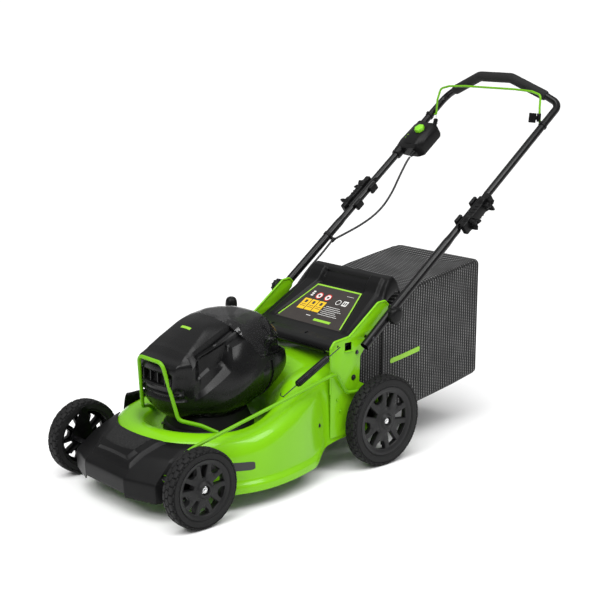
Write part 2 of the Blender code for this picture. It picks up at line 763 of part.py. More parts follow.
def build_lower_tubes(parent):
    top = on_handle(BOLT_SPACING + LAP_OVERHANG)
    knee = on_handle(-0.2503)
    lap_start = -math.hypot(LAP_OVERHANG, TUBE_RADIUS) - 0.0006
    for side, name in ((1, "lower_tube_left"), (-1, "lower_tube_right")):
        x = side * LOWER_TUBE_X
        path = [(x, -0.060, 0.343), (x, 0.070, 0.446), (x, knee.y, knee.z), (x, top.y, top.z)]
        piece = tube(name, rounded(path, 0.06, 3), TUBE_RADIUS, 4, TUBE_WALL)
        outside = sorted((side * LAP_X, side * 0.26))
        lap = handle_box("lap_cut", outside, (lap_start, 0.20), (-0.03, 0.03))
        slot = handle_box("bolt_slot", sorted((side * 0.20, side * 0.24)),
                          (BOLT_SPACING - 0.0058, BOLT_SPACING + 0.0052), (-0.03, 0.001))
        bores = [cross_bore("bore", side, point) for point in
                 (bolt_point(False), bolt_point(True), FOLD_PIVOT, LOCK_POINT)]
        cut(piece, lap, slot, *bores)
        sub_part(piece, BLACK_PAINT, parent)


def build_fold_fittings(parent):
    """The hinge bolt on each bracket and the lock knob that clamps the tube to it."""
    for side, tag in ((1, "left"), (-1, "right")):
        turn = (0.0, side * math.pi / 2, 0.0)
        bolt = turned("pivot_bolt_" + tag,
                      [(0.0, 0.0362), (0.004, 0.0360), (0.0065, 0.0348), (0.0065, 0.0331),
                       (0.004, 0.0331), (0.004, -0.0035), (0.0, -0.0035)],
                      (side * 0.20, *FOLD_PIVOT), turn, 10)
        sub_part(bolt, STEEL)
        knob_pivot = pivot("lock_turn_" + tag, (side * 0.24, *LOCK_POINT))
        knob = turned("lock_knob_" + tag,
                      [(0.0, 0.0555), (0.017, 0.0540), (0.0225, 0.0485), (0.0235, 0.0395),
                       (0.0190, 0.0331), (0.004, 0.0331), (0.004, 0.0068), (0.0, 0.0068)],
                      (side * 0.20, *LOCK_POINT), turn, 20)
        sub_part(knob, BLACK_PLASTIC, knob_pivot)
        knob_pivot.parent = parent
        knob_pivot.location = Vector(knob_pivot.location) - Vector(parent.location)


def handle_path():
    """The upper handle's centre line from its lower left end round to its lower right end."""
    foot = on_handle(-LAP_OVERHANG, 0.0, UPPER_TUBE_X)
    corner = on_handle(0.5110, 0.0, UPPER_TUBE_X)
    half = [tuple(foot), tuple(corner), (0.182, 0.7285, 0.9695), (0.062, 0.7085, 1.019)]
    return half + mirrored(half[::-1])


def build_upper_tube(parent):
    path = handle_path()
    piece = tube("upper_tube", rounded(path, 0.036, 4), TUBE_RADIUS, 4, TUBE_WALL)
    cutters = []
    for side in (1, -1):
        inside = sorted((side * 0.20, side * (LAP_X + GAP)))
        cutters.append(handle_box("lap_cut", inside, (-0.05, 0.0996), (-0.03, 0.03)))
        cutters.append(cross_bore("bore", side, bolt_point(False)))
        cutters.append(cross_bore("bore", side, bolt_point(True)))
    cut(piece, *cutters)
    sub_part(piece, BLACK_PAINT, parent)
    grip_path = rounded(path, 0.036, 4)
    first = next(k for k, point in enumerate(grip_path) if point[0] < 0.183)
    last = next(k for k, point in enumerate(grip_path) if point[0] < -0.183)
    span = grip_path[first:last]
    grip = as_mesh(tube("foam_grip", span, GRIP_RADIUS, 4))
    bore = as_mesh(tube("grip_bore", grip_path[first - 2:last + 2], TUBE_RADIUS + 0.0006, 4))
    cut(grip, bore)
    sub_part(grip, FOAM, parent)


def trefoil(centre, mean, lobe, steps=24):
    outline = []
    for k in range(steps):
        angle = math.tau * k / steps
        reach = mean + lobe * math.cos(3 * angle)
        outline.append((centre[0] + reach * math.cos(angle), centre[1] + reach * math.sin(angle)))
    return outline


def build_clamps(parent):
    """A plastic saddle over each lap joint, held by two bolts with three-lobed knobs."""
    for side, tag in ((1, "left"), (-1, "right")):
        across = sorted((side * 0.2345, side * 0.2525))
        block = handle_box("clamp_" + tag, across, (-0.030, BOLT_SPACING + 0.030),
                           (-0.018, 0.018), 0.003)
        groove = rod("groove", on_handle(-0.06, 0.0, side * UPPER_TUBE_X),
                     on_handle(0.16, 0.0, side * UPPER_TUBE_X), TUBE_RADIUS + GAP, 16)
        cut(block, groove, cross_bore("bore", side, bolt_point(False)),
            cross_bore("bore", side, bolt_point(True)))
        sub_part(block, BLACK_PLASTIC, parent)
        for upper in (False, True):
            place = bolt_point(upper)
            name = "wing_knob_" + tag + ("_upper" if upper else "_lower")
            turn = pivot(name + "_turn", (side * 0.26, *place))
            bolt = turned(name, [(0.0, 0.0620), (0.0085, 0.0620), (0.0095, 0.0580),
                                 (0.0095, 0.0528), (0.0040, 0.0528), (0.0040, 0.0098),
                                 (0.0072, 0.0098), (0.0072, 0.0055), (0.0, 0.0045)],
                          (side * 0.20, *place), (0.0, side * math.pi / 2, 0.0), 12)
            faces = sorted((side * 0.2560, side * 0.2680))
            joined(bolt, plate("lobes", [trefoil(place, 0.0125, 0.0055)], *faces))
            sub_part(bolt, BLACK_PLASTIC, turn)
            turn.parent = parent
            turn.location = Vector(turn.location) - Vector(parent.location)


def build_bail(parent):
    hinge = pivot("bail_hinge", (0.0, *BAIL_PIVOT))
    y, z = BAIL_PIVOT
    half = [(0.2135, y, z), (0.2070, y, z), (0.2045, y + 0.001, z + 0.045),
            (0.1990, 0.679, 0.9760), (0.1650, 0.681, 0.9850), (0.1000, 0.683, 0.9880)]
    path = half + mirrored(half[::-1])
    wire = tube("bail", rounded(path, 0.014, 3), BAIL_RADIUS, 2)
    sub_part(wire, LIME, hinge)
    paddle = box("bail_paddle", (0.1830, y - 0.020, z + 0.006), (0.2000, y - 0.002, z + 0.028),
                 0.003)
    sub_part(paddle, BLACK_PLASTIC, hinge)
    hinge.parent = parent
    hinge.location = Vector(hinge.location) - Vector(parent.location)


def build_control_box(parent):
    low, high = 0.248, 0.366
    case = handle_box("control_box", (-0.241, -0.136), (low, high), (-0.020, 0.032), 0.008)
    sleeve = rod("sleeve", on_handle(low - 0.020, 0.0, -UPPER_TUBE_X),
                 on_handle(high + 0.006, 0.0, -UPPER_TUBE_X), 0.0160, 16)
    gland = rod("gland", on_handle(low + 0.004, 0.0, -0.165),
                on_handle(low - 0.018, 0.0, -0.165), 0.0065, 12, 0.0048)
    plinth = handle_box("plinth", (-0.197, -0.155), (0.295, 0.337), (0.028, 0.036))
    nub = rod("wire_nub", on_handle(high - 0.020, 0.020, -0.150),
              on_handle(high + 0.004, 0.034, -0.150), 0.006, 10)
    joined(case, sleeve, gland, plinth, nub)
    tube_way = rod("tube_way", on_handle(low - 0.06, 0.0, -UPPER_TUBE_X),
                   on_handle(high + 0.06, 0.0, -UPPER_TUBE_X), TUBE_RADIUS + GAP, 16)
    well = rod("button_well", on_handle(0.316, 0.024, -0.176), on_handle(0.316, 0.05, -0.176),
               0.0147, 6)
    cut(case, tube_way, well)
    sub_part(case, BLACK_PLASTIC, parent)
    button = rod("start_button", on_handle(0.316, 0.0285, -0.176),
                 on_handle(0.316, 0.0410, -0.176), 0.0140, 6)
    sub_part(button, LIME_PLASTIC)


UPPER_CABLE = [
    (-0.165, 0.5065, 0.7740), (-0.165, 0.4930, 0.7600), (-0.166, 0.4740, 0.7330),
    (-0.168, 0.4570, 0.7050), (-0.171, 0.4360, 0.6700), (-0.175, 0.4050, 0.6330),
    (-0.180, 0.3650, 0.6030), (-0.186, 0.3150, 0.5790), (-0.193, 0.2600, 0.5590),
    (-0.199, 0.2230, 0.5460),
]
LOWER_CABLE = [
    (-0.2000, 0.2090, 0.5400), (-0.2000, 0.1700, 0.5080), (-0.1985, 0.1200, 0.4720),
    (-0.1950, 0.0800, 0.4400), (-0.1920, 0.0450, 0.4080), (-0.1920, 0.0050, 0.3700),
    (-0.1920, -0.0400, 0.3350), (-0.1900, -0.0900, 0.3160), (-0.1750, -0.1350, 0.3120),
    (-0.1500, -0.1650, 0.3180), (-0.1150, -0.1850, 0.3230), (-0.0700, -0.2000, 0.3200),
]


def smooth_route(points, steps=3):
    """A Catmull-Rom curve through the route's own points."""
    route = [Vector(point) for point in points]
    ends = [2 * route[0] - route[1]] + route + [2 * route[-1] - route[-2]]
    path = []
    for p0, p1, p2, p3 in zip(ends, ends[1:], ends[2:], ends[3:]):
        for step in range(steps):
            s = step / steps
            path.append(0.5 * (2 * p1 + (p2 - p0) * s + (2 * p0 - 5 * p1 + 4 * p2 - p3) * s * s
                               + (3 * p1 - p0 - 3 * p2 + p3) * s ** 3))
    path.append(route[-1])
    return [tuple(point) for point in path]


def build_cables(lower_parent):
    sub_part(tube("cable_upper", smooth_route(UPPER_CABLE, 2), 0.0033, 2), RUBBER)
    sub_part(tube("cable_lower", smooth_route(LOWER_CABLE, 2), 0.0033, 2), RUBBER)
    clip_at = on_handle(-0.142, 0.0, -LOWER_TUBE_X)
    clip = rod("cable_clip", clip_at - HANDLE_FORWARD * 0.005, clip_at + HANDLE_FORWARD * 0.005,
               0.0145, 16)
    bore = rod("clip_bore", clip_at - HANDLE_FORWARD * 0.02, clip_at + HANDLE_FORWARD * 0.02,
               TUBE_RADIUS + GAP, 16)
    cut(clip, bore)
    sub_part(clip, BLACK_PLASTIC, lower_parent)


# Rear door, bag and side flap

def slab(name, stations, thickness, flange=0.0):
    """A sheet with its upper face through stations (Y, Z, half-width, drop), its sides turned
    down by each station's drop."""
    rows = []
    for y, z, width, drop in stations:
        half = [(0.0, y, z), (0.5 * width, y, z), (width, y, z)]
        if flange:
            half.append((width + flange, y + 0.2 * drop, z - drop))
        rows.append(mirrored(half[:0:-1]) + half)
    return skinned_grid(name, rows, False, thickness)


def build_door():
    hinge = pivot("door_hinge", (0.0, *DOOR_HINGE))
    stations = [(-0.1460, 0.3385, 0.168, 0.004), (-0.1410, 0.3490, 0.178, 0.006),
                (-0.1240, 0.3550, 0.184, 0.010), (-0.0950, 0.3590, 0.182, 0.012),
                (-0.0740, 0.3655, 0.180, 0.014), (0.0000, 0.4115, 0.172, 0.016), (0.0620, 0.4520, 0.163, 0.018),
                (0.0780, 0.4780, 0.158, 0.034), (0.0950, 0.4960, 0.155, 0.042),
                (0.1130, 0.5010, 0.153, 0.040), (0.1240, 0.4920, 0.152, 0.034),
                (0.1330, 0.4680, 0.152, 0.016)]
    door = slab("rear_door", stations, 0.007, 0.010)
    knuckles = rod("knuckle", (-0.150, *DOOR_HINGE), (0.150, *DOOR_HINGE), 0.0085, 12)
    joined(door, knuckles)
    cut(door, rod("rod_way", (-0.22, *DOOR_HINGE), (0.22, *DOOR_HINGE), 0.0043, 12))
    sub_part(door, BLACK_PLASTIC, hinge)
    sub_part(rod("door_rod", (-0.1971, *DOOR_HINGE), (0.1971, *DOOR_HINGE), 0.0040, 12), STEEL)
    label = slab("door_label", [(-0.072, 0.3710, 0.131, 0.0), (0.058, 0.4510, 0.087, 0.0)], 0.0006)
    return sub_part(label, LIME_PLASTIC, hinge)


BAG_SECTIONS = [
    # Y, half-width, bottom, top
    (0.0690, 0.158, 0.130, 0.392),
    (0.0900, 0.160, 0.104, 0.408),
    (0.1400, 0.166, 0.106, 0.452),
    (0.2400, 0.168, 0.120, 0.474),
    (0.3600, 0.168, 0.138, 0.492),
    (0.4550, 0.166, 0.155, 0.505),
    (0.4650, 0.160, 0.162, 0.499),
]


def bag_ring(y, width, bottom, top):
    soft = 0.014
    return [(width, y, bottom + soft), (width + 0.001, y, (bottom + top) / 2),
            (width, y, top - soft), (width - soft, y, top), (0.0, y, top + 0.001),
            (soft - width, y, top), (-width, y, top - soft), (-width - 0.001, y, (bottom + top) / 2),
            (-width, y, bottom + soft), (soft - width, y, bottom), (0.0, y, bottom),
            (width - soft, y, bottom)]


def build_bag():
    rows = [bag_ring(*section) for section in BAG_SECTIONS]
    shape = bmesh.new()
    grid = [[shape.verts.new(point) for point in row] for row in rows]
    for ahead, behind in zip(grid, grid[1:]):
        for k in range(len(ahead)):
            following = (k + 1) % len(ahead)
            shape.faces.new((ahead[k], behind[k], behind[following], ahead[following]))
    shape.faces.new(grid[-1])
    bmesh.ops.recalc_face_normals(shape, faces=shape.faces)
    bag = mesh_object("grass_bag", shape)
    skin = bag.modifiers.new("cloth", "SOLIDIFY")
    skin.thickness = 0.003
    skin.offset = -1.0
    sub_part(bag, BAG_CLOTH)
    low, high, side, y = 0.140, 0.384, 0.148, 0.0635
    hoop = rounded([(0.0, y, low), (side, y, low), (side, y, high), (-side, y, high),
                    (-side, y, low), (0.0, y, low)], 0.02, 3)[1:-1]
    sub_part(tube("bag_frame", hoop, 0.0040, 2, cyclic=True), BLACK_PAINT)


def build_flap():
    hinge_x, hinge_z = FLAP_HINGE
    hinge = pivot("flap_hinge", (hinge_x, -0.43, hinge_z))
    rows = []
    for x, z in ((-0.2420, 0.1930), (-0.2490, 0.1970), (-0.2600, 0.1780), (-0.2680, 0.1400),
                 (-0.2760, 0.0900), (-0.2815, 0.0700)):
        rows.append([(x, y, z) for y in (-0.510, -0.430, -0.350)])
    flap = skinned_grid("discharge_flap", rows, False, 0.003)
    return sub_part(flap, BLACK_PLASTIC, hinge)


def build():
    build_deck()
    build_nose()
    build_brackets()
    build_motor()
    build_hood()
    build_guard()
    build_blade()
    front = pivot("front_crank", (0.0, *crank_pivot(front=True)))
    rear = pivot("rear_crank", (0.0, *crank_pivot()))
    for is_front, parent in ((True, front), (False, rear)):
        build_axle(is_front, parent)
        for side in (1, -1):
            build_wheel(is_front, side, parent)
    build_height_adjuster(rear)
    build_quadrant()
    build_link_rod(pivot("link_pin", (LOWER_TUBE_X, *crank_pin())))
    build_spring()
    lower = pivot("lower_fold", (0.0, *FOLD_PIVOT))
    upper = pivot("upper_fold", (0.0, *LOWER_BOLT))
    build_lower_tubes(lower)
    build_fold_fittings(lower)
    build_upper_tube(upper)
    build_clamps(upper)
    build_bail(upper)
    build_control_box(upper)
    build_cables(lower)
    build_door()
    build_bag()
    build_flap()


build()
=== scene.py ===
"""Looks for the walk-behind push mower: materials, detailed pieces, floor, lights and camera."""

import math

import bmesh
import bpy
from mathutils import Matrix, Vector, noise
from mathutils.bvhtree import BVHTree


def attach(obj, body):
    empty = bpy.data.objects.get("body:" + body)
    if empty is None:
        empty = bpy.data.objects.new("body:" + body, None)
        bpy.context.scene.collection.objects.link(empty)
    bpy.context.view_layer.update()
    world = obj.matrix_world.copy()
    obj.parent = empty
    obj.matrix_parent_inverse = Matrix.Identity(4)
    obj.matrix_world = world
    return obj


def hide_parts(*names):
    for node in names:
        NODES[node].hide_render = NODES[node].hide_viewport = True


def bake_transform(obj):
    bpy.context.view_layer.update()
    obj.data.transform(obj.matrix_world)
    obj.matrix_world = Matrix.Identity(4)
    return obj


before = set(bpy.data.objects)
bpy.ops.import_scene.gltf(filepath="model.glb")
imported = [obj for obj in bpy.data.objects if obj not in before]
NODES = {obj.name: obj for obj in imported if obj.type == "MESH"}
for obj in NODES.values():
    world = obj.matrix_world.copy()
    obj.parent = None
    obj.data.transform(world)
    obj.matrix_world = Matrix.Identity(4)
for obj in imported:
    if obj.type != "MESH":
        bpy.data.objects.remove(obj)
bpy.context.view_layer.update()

# Camera

CAMERA_PLACE = (2.643, -2.4316, 1.2541)
CAMERA_TURN = math.radians(48.41)
CAMERA_DROP = math.radians(13.124)
CAMERA_LENS = 77.55
FAR_CLIP = 20000.0


def add_camera():
    data = bpy.data.cameras.new("camera")
    data.sensor_width = 36.0
    data.lens = CAMERA_LENS
    data.clip_start = 0.1
    data.clip_end = FAR_CLIP
    camera = bpy.data.objects.new("camera", data)
    camera.location = CAMERA_PLACE
    camera.rotation_euler = (math.pi / 2 - CAMERA_DROP, 0.0, CAMERA_TURN)
    bpy.context.scene.collection.objects.link(camera)
    bpy.context.scene.camera = camera


add_camera()


# Materials

class Look:
    """A Principled material and the small node graph that feeds it."""

    def __init__(self, name, **sockets):
        self.material = bpy.data.materials.new(name)
        self.material.use_nodes = True
        self.tree = self.material.node_tree
        self.shader = self.tree.nodes["Principled BSDF"]
        for socket, value in sockets.items():
            self.shader.inputs[socket.replace("_", " ")].default_value = value
        self.place = self.tree.nodes.new("ShaderNodeTexCoord").outputs["Object"]

    def add(self, kind, **settings):
        node = self.tree.nodes.new("ShaderNode" + kind)
        for key, value in settings.items():
            setattr(node, key, value)
        return node

    def wire(self, source, socket):
        if isinstance(source, (int, float, tuple)):
            socket.default_value = source
        else:
            self.tree.links.new(source, socket)

    def math(self, operation, first, second=0.0, clamp=False):
        node = self.add("Math", operation=operation, use_clamp=clamp)
        self.wire(first, node.inputs[0])
        self.wire(second, node.inputs[1])
        return node.outputs[0]

    def noise(self, scale, detail, stretch=None):
        node = self.add("TexNoise")
        place = self.place
        if stretch:
            mapping = self.add("Mapping")
            self.wire(place, mapping.inputs["Vector"])
            mapping.inputs["Scale"].default_value = stretch
            place = mapping.outputs[0]
        self.wire(place, node.inputs["Vector"])
        node.inputs["Scale"].default_value = scale
        node.inputs["Detail"].default_value = detail
        return node.outputs["Fac"]

    def pattern(self, spec):
        """Noise of (scale, detail, stretch), or cells when the scale stands alone."""
        if len(spec) > 1:
            return self.noise(*spec)
        node = self.add("TexVoronoi")
        self.wire(self.place, node.inputs["Vector"])
        node.inputs["Scale"].default_value = spec[0]
        return node.outputs["Distance"]

    def span(self, value, low, high, to_low=0.0, to_high=1.0):
        node = self.add("MapRange")
        self.wire(value, node.inputs["Value"])
        for name, number in (("From Min", low), ("From Max", high), ("To Min", to_low),
                             ("To Max", to_high)):
            node.inputs[name].default_value = number
        return node.outputs["Result"]

    def mix(self, share, first, second):
        node = self.add("Mix", data_type="RGBA")
        self.wire(share, node.inputs["Factor"])
        for colour, socket in ((first, node.inputs["A"]), (second, node.inputs["B"])):
            self.wire((*colour, 1.0) if isinstance(colour, tuple) else colour, socket)
        return node.outputs["Result"]

    def colour(self, source):
        self.wire(source, self.shader.inputs["Base Color"])

    def roughness(self, source):
        self.wire(source, self.shader.inputs["Roughness"])

    def bump(self, height, distance, strength=1.0):
        node = self.add("Bump")
        node.inputs["Strength"].default_value = strength
        node.inputs["Distance"].default_value = distance
        self.wire(height, node.inputs["Height"])
        if self.shader.inputs["Normal"].is_linked:
            self.wire(self.shader.inputs["Normal"].links[0].from_socket, node.inputs["Normal"])
        self.wire(node.outputs[0], self.shader.inputs["Normal"])


def surface(name, colour, sheen, *bumps, **sockets):
    """A material from patterns: colour is (pattern, from, to, first colour, second colour), sheen
    is (pattern, from, to, smooth, rough) and each bump is (pattern, distance, strength)."""
    look = Look(name, **sockets)
    pattern, low, high, first, second = colour
    look.colour(look.mix(look.span(look.pattern(pattern), low, high), first, second))
    pattern, low, high, shiny, dull = sheen
    look.roughness(look.span(look.pattern(pattern), low, high, shiny, dull))
    for pattern, distance, strength in bumps:
        look.bump(look.pattern(pattern), distance, strength)
    return look.material


def painted(name, low, high, roughness, peel=0.00004, **sockets):
    """Sprayed enamel: faint cloudiness, a thin film of dust and orange peel."""
    return surface(name, ((9.0, 2.0), 0.35, 0.65, low, high),
                   ((60.0, 4.0), 0.3, 0.7, roughness - 0.01, roughness + 0.02),
                   ((260.0, 1.0), peel, 0.15), **sockets)


def moulded(name, low, high, roughness, grain=900.0, depth=0.00010, **sockets):
    """Moulded plastic: a spark-eroded grain, flow marks and a little shine where handled."""
    return surface(name, ((14.0, 3.0), 0.3, 0.7, low, high),
                   ((35.0, 5.0), 0.3, 0.7, roughness - 0.03, roughness + 0.04),
                   ((grain,), depth, 0.5), ((grain * 0.6, 4.0), depth, 0.4), **sockets)


def metal(name, low, high, roughness, stretch=(1.0, 1.0, 1.0)):
    """Metal with drawn or brushed lines along the stretched axis."""
    lines = (500.0, 3.0, stretch)
    return surface(name, ((30.0, 5.0), 0.35, 0.7, high, low),
                   (lines, 0.3, 0.7, roughness - 0.06, roughness + 0.10),
                   (lines, 0.00003, 0.5), Metallic=1.0)


def ink(name, low, high, roughness=0.4):
    return surface(name, ((150.0, 3.0), 0.3, 0.7, low, high),
                   ((90.0, 3.0), 0.3, 0.7, roughness - 0.05, roughness + 0.05),
                   ((500.0, 2.0), 0.00002, 0.4), Specular_IOR_Level=0.35)


LIME = painted("lime_paint", (0.178, 0.480, 0.0042), (0.186, 0.495, 0.0048), 0.22,
               Coat_Weight=0.22, Coat_Roughness=0.03, Specular_IOR_Level=0.16)
LIME_DEEP = painted("lime_powder_coat", (0.130, 0.370, 0.004), (0.140, 0.390, 0.005), 0.28,
                    Specular_IOR_Level=0.22)
BLACK_PAINT = painted("black_paint", (0.0035, 0.0035, 0.0037), (0.0042, 0.0042, 0.0045), 0.20,
                      Specular_IOR_Level=0.22)
DECAL_BLACK = painted("black_decal", (0.020, 0.020, 0.021), (0.026, 0.026, 0.027), 0.42,
                      peel=0.00001)
HOOD_PLASTIC = moulded("hood_plastic", (0.0035, 0.0035, 0.0037), (0.0045, 0.0045, 0.0048), 0.27,
                       1400.0, 0.00003, Specular_IOR_Level=0.23)
BLACK_PLASTIC = moulded("black_plastic", (0.0042, 0.0042, 0.0044), (0.0056, 0.0056, 0.0058), 0.34,
                        1200.0, 0.00005, Specular_IOR_Level=0.14)
RIM_PLASTIC = moulded("rim_plastic", (0.0105, 0.0105, 0.0109), (0.0135, 0.0135, 0.0140), 0.42,
                      1100.0, 0.00006, Specular_IOR_Level=0.22)
# Darker, duller black for vents, slits, a slot, the battery bay floor and the spring's core:
# painted shade in hollows and openings
PAINTED_SHADE_PLASTIC = moulded("painted_shade_plastic", (0.0020, 0.0020, 0.0021), (0.0030, 0.0030, 0.0031), 0.60,
                       Specular_IOR_Level=0.15)
LIME_PLASTIC = moulded("lime_plastic", (0.185, 0.560, 0.010), (0.215, 0.620, 0.014), 0.36,
                       1200.0, 0.00004)
STEEL = metal("steel", (0.36, 0.36, 0.37), (0.52, 0.52, 0.53), 0.32, (1.0, 0.05, 1.0))
DARK_STEEL = metal("blackened_steel", (0.030, 0.030, 0.032), (0.060, 0.060, 0.064), 0.34)
CHROME = metal("chrome", (0.62, 0.62, 0.63), (0.80, 0.80, 0.81), 0.13)
ALUMINIUM = metal("aluminium", (0.50, 0.50, 0.51), (0.64, 0.64, 0.65), 0.40)


# Tyre rubber: dull, with a fine open grain and paler scuffs
RUBBER = surface("tyre_rubber", ((55.0, 6.0), 0.55, 0.75, (0.0085, 0.0085, 0.0087),
                                 (0.0125, 0.0123, 0.0120)),
                 ((55.0, 6.0), 0.55, 0.75, 0.62, 0.80), ((700.0, 4.0), 0.00012, 0.6),
                 Specular_IOR_Level=0.22)
# Closed-cell grip foam, with shallow open bubbles at its skin; the bubble pits are painted darker
# as shade
FOAM = surface("foam", ((650.0,), 0.2, 0.6, (0.0080, 0.0080, 0.0080), (0.0145, 0.0145, 0.0145)),
               ((45.0, 3.0), 0.3, 0.7, 0.72, 0.86), ((650.0,), 0.00035, 0.6),
               ((120.0, 3.0), 0.0004, 0.25), Specular_IOR_Level=0.25)
CABLE = surface("cable_rubber", ((80.0, 3.0), 0.35, 0.65, (0.0100, 0.0100, 0.0102),
                                 (0.0150, 0.0150, 0.0152)),
                ((40.0, 4.0), 0.3, 0.7, 0.42, 0.58), ((300.0, 2.0), 0.00015, 0.5),
                Specular_IOR_Level=0.4)
# Printed matt panel of the rear door's label
PANEL = surface("label_panel", ((20.0, 3.0), 0.35, 0.65, (0.0270, 0.0215, 0.0195),
                                (0.0330, 0.0265, 0.0240)),
                ((70.0, 3.0), 0.3, 0.7, 0.36, 0.46), ((500.0, 2.0), 0.00003, 0.5),
                Specular_IOR_Level=0.35)
# Tinted polycarbonate of the lid, with faint swirl scratches and moulding ripple
SMOKED = surface("smoked_plastic", ((12.0, 3.0), 0.3, 0.7, (0.0100, 0.0100, 0.0105),
                                    (0.0140, 0.0140, 0.0145)),
                 ((60.0, 6.0), 0.35, 0.75, 0.05, 0.10), ((25.0, 2.0), 0.0002, 0.08),
                 Alpha=0.62, Specular_IOR_Level=0.45)
# The nose's anti-scuff pad, with coarse, close pebbling
PEBBLED = surface("pebbled_plastic", ((420.0,), 0.1, 0.6, (0.0165, 0.0165, 0.0170),
                                      (0.0055, 0.0055, 0.0056)),
                  ((60.0, 3.0), 0.3, 0.7, 0.60, 0.74), ((420.0,), 0.0012, 0.9),
                  Specular_IOR_Level=0.3)
# Webbing that binds the bag's edges
BINDING = surface("binding_tape", ((900.0, 2.0, (1.0, 0.15, 1.0)), 0.35, 0.65,
                                   (0.0100, 0.0100, 0.0102), (0.0260, 0.0260, 0.0262)),
                  ((60.0, 3.0), 0.3, 0.7, 0.70, 0.84),
                  ((900.0, 2.0, (1.0, 0.15, 1.0)), 0.0004, 0.7), Specular_IOR_Level=0.3)
WHITE_INK = ink("white_ink", (0.62, 0.62, 0.60), (0.74, 0.74, 0.72))
YELLOW_INK = ink("yellow_ink", (0.72, 0.44, 0.010), (0.80, 0.50, 0.014))
RED_INK = ink("red_ink", (0.46, 0.020, 0.016), (0.56, 0.028, 0.022))
LIME_INK = ink("lime_ink", (0.235, 0.500, 0.030), (0.275, 0.560, 0.040))


RIB_SPACING = 0.0094
KNOT_SPACING = 0.0084


def mesh_cloth_look():
    """Coated open mesh: ribs that run round the bag, with columns of paler knots between, and the
    gaps between the ribs darkened as painted shade.
    """
    look = Look("bag_cloth", Specular_IOR_Level=0.3)
    axes = look.add("SeparateXYZ")
    look.wire(look.add("Attribute", attribute_name="weave").outputs["Vector"], axes.inputs[0])
    along, around, _ = axes.outputs
    wander = look.math("MULTIPLY", look.math("SUBTRACT", look.noise(40.0, 2.0), 0.5), 0.0012)
    column = look.math("MULTIPLY", look.math("ADD", along, wander), math.tau / RIB_SPACING)
    row = look.math("MULTIPLY", around, math.tau / KNOT_SPACING)
    rib = look.span(look.math("SINE", column), -1.0, 1.0)
    offset = look.math("MULTIPLY", look.math("SIGN", look.math(
        "SINE", look.math("MULTIPLY", column, 0.5))), math.pi / 2)
    knot = look.span(look.math("SINE", look.math("ADD", row, offset)), -1.0, 1.0)
    dash = look.span(look.math("POWER", knot, 1.3), 0.0, 1.0, 0.22, 1.0)
    bright = look.math("MULTIPLY", look.math("POWER", rib, 5.0), dash)
    fade = look.span(look.noise(16.0, 3.0), 0.35, 0.65, 0.55, 1.0)
    bright = look.math("MULTIPLY", bright, fade, clamp=True)
    # The gaps between the ribs are darker: painted shade in the mesh's openings
    hole = look.math("POWER", look.math("SUBTRACT", 1.0, rib), 4.0)
    base = look.mix(hole, (0.0120, 0.0120, 0.0124), (0.0030, 0.0030, 0.0031))
    look.colour(look.mix(bright, base, (0.330, 0.330, 0.330)))
    look.roughness(look.span(knot, 0.0, 1.0, 0.62, 0.80))
    look.bump(look.math("ADD", look.math("MULTIPLY", rib, 0.7), look.math(
        "MULTIPLY", bright, 0.5)), 0.0009, 0.8)
    look.bump(look.noise(900.0, 3.0), 0.0002, 0.4)
    return look.material


BAG_CLOTH = mesh_cloth_look()


# Mesh helpers

COLLECTION = bpy.data.collections.new("looks")
bpy.context.scene.collection.children.link(COLLECTION)


def smooth(obj, angle=38.0):
    obj.data.shade_smooth()
    obj.data.set_sharp_from_angle(angle=math.radians(angle))
    return obj


def baked(obj):
    """Applies all modifiers."""
    bpy.context.view_layer.update()
    graph = bpy.context.evaluated_depsgraph_get()
    mesh = bpy.data.meshes.new_from_object(obj.evaluated_get(graph))
    old = obj.data
    obj.modifiers.clear()
    if obj.type == "CURVE":
        name, place = obj.name, obj.matrix_world.copy()
        bpy.data.objects.remove(obj, do_unlink=True)
        obj = bpy.data.objects.new(name, mesh)
        COLLECTION.objects.link(obj)
        obj.matrix_world = place
        return obj
    obj.data = mesh
    bpy.data.meshes.remove(old)
    return obj


def solid(name, shape, finish, location=(0, 0, 0), rotation=(0, 0, 0)):
    """A bmesh as an object, its rotation and location put into its vertices."""
    turn = Matrix.Translation(location) @ Matrix.Rotation(rotation[2], 4, "Z") @ Matrix.Rotation(
        rotation[1], 4, "Y") @ Matrix.Rotation(rotation[0], 4, "X")
    bmesh.ops.transform(shape, matrix=turn, verts=shape.verts)
    mesh = bpy.data.meshes.new(name)
    shape.to_mesh(mesh)
    shape.free()
    obj = bpy.data.objects.new(name, mesh)
    COLLECTION.objects.link(obj)
    mesh.materials.append(finish)
    return obj


def place(obj, body, slot, *nodes, angle=38.0):
    """Finishes a piece: shading, the body it rides on and the nodes it stands for; slot is not
    used.
    """
    smooth(obj, angle)
    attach(obj, body)
    if nodes:
        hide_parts(*nodes)
    return obj


def bevelled(obj, width, segments=2, angle=40.0):
    edge = obj.modifiers.new("edges", "BEVEL")
    edge.width = width
    edge.segments = segments
    edge.limit_method = "ANGLE"
    edge.angle_limit = math.radians(angle)
    return baked(obj)


def joined(obj, *others):
    """Others merged into obj as more shells of one mesh."""
    shape = bmesh.new()
    shape.from_mesh(obj.data)
    for other in others:
        offset = len(obj.data.materials)
        for finish in other.data.materials:
            obj.data.materials.append(finish)
        before = set(shape.faces)
        shape.from_mesh(other.data)
        for face in shape.faces:
            if face not in before:
                face.material_index += offset
        bpy.data.objects.remove(other, do_unlink=True)
    shape.to_mesh(obj.data)
    shape.free()
    return obj


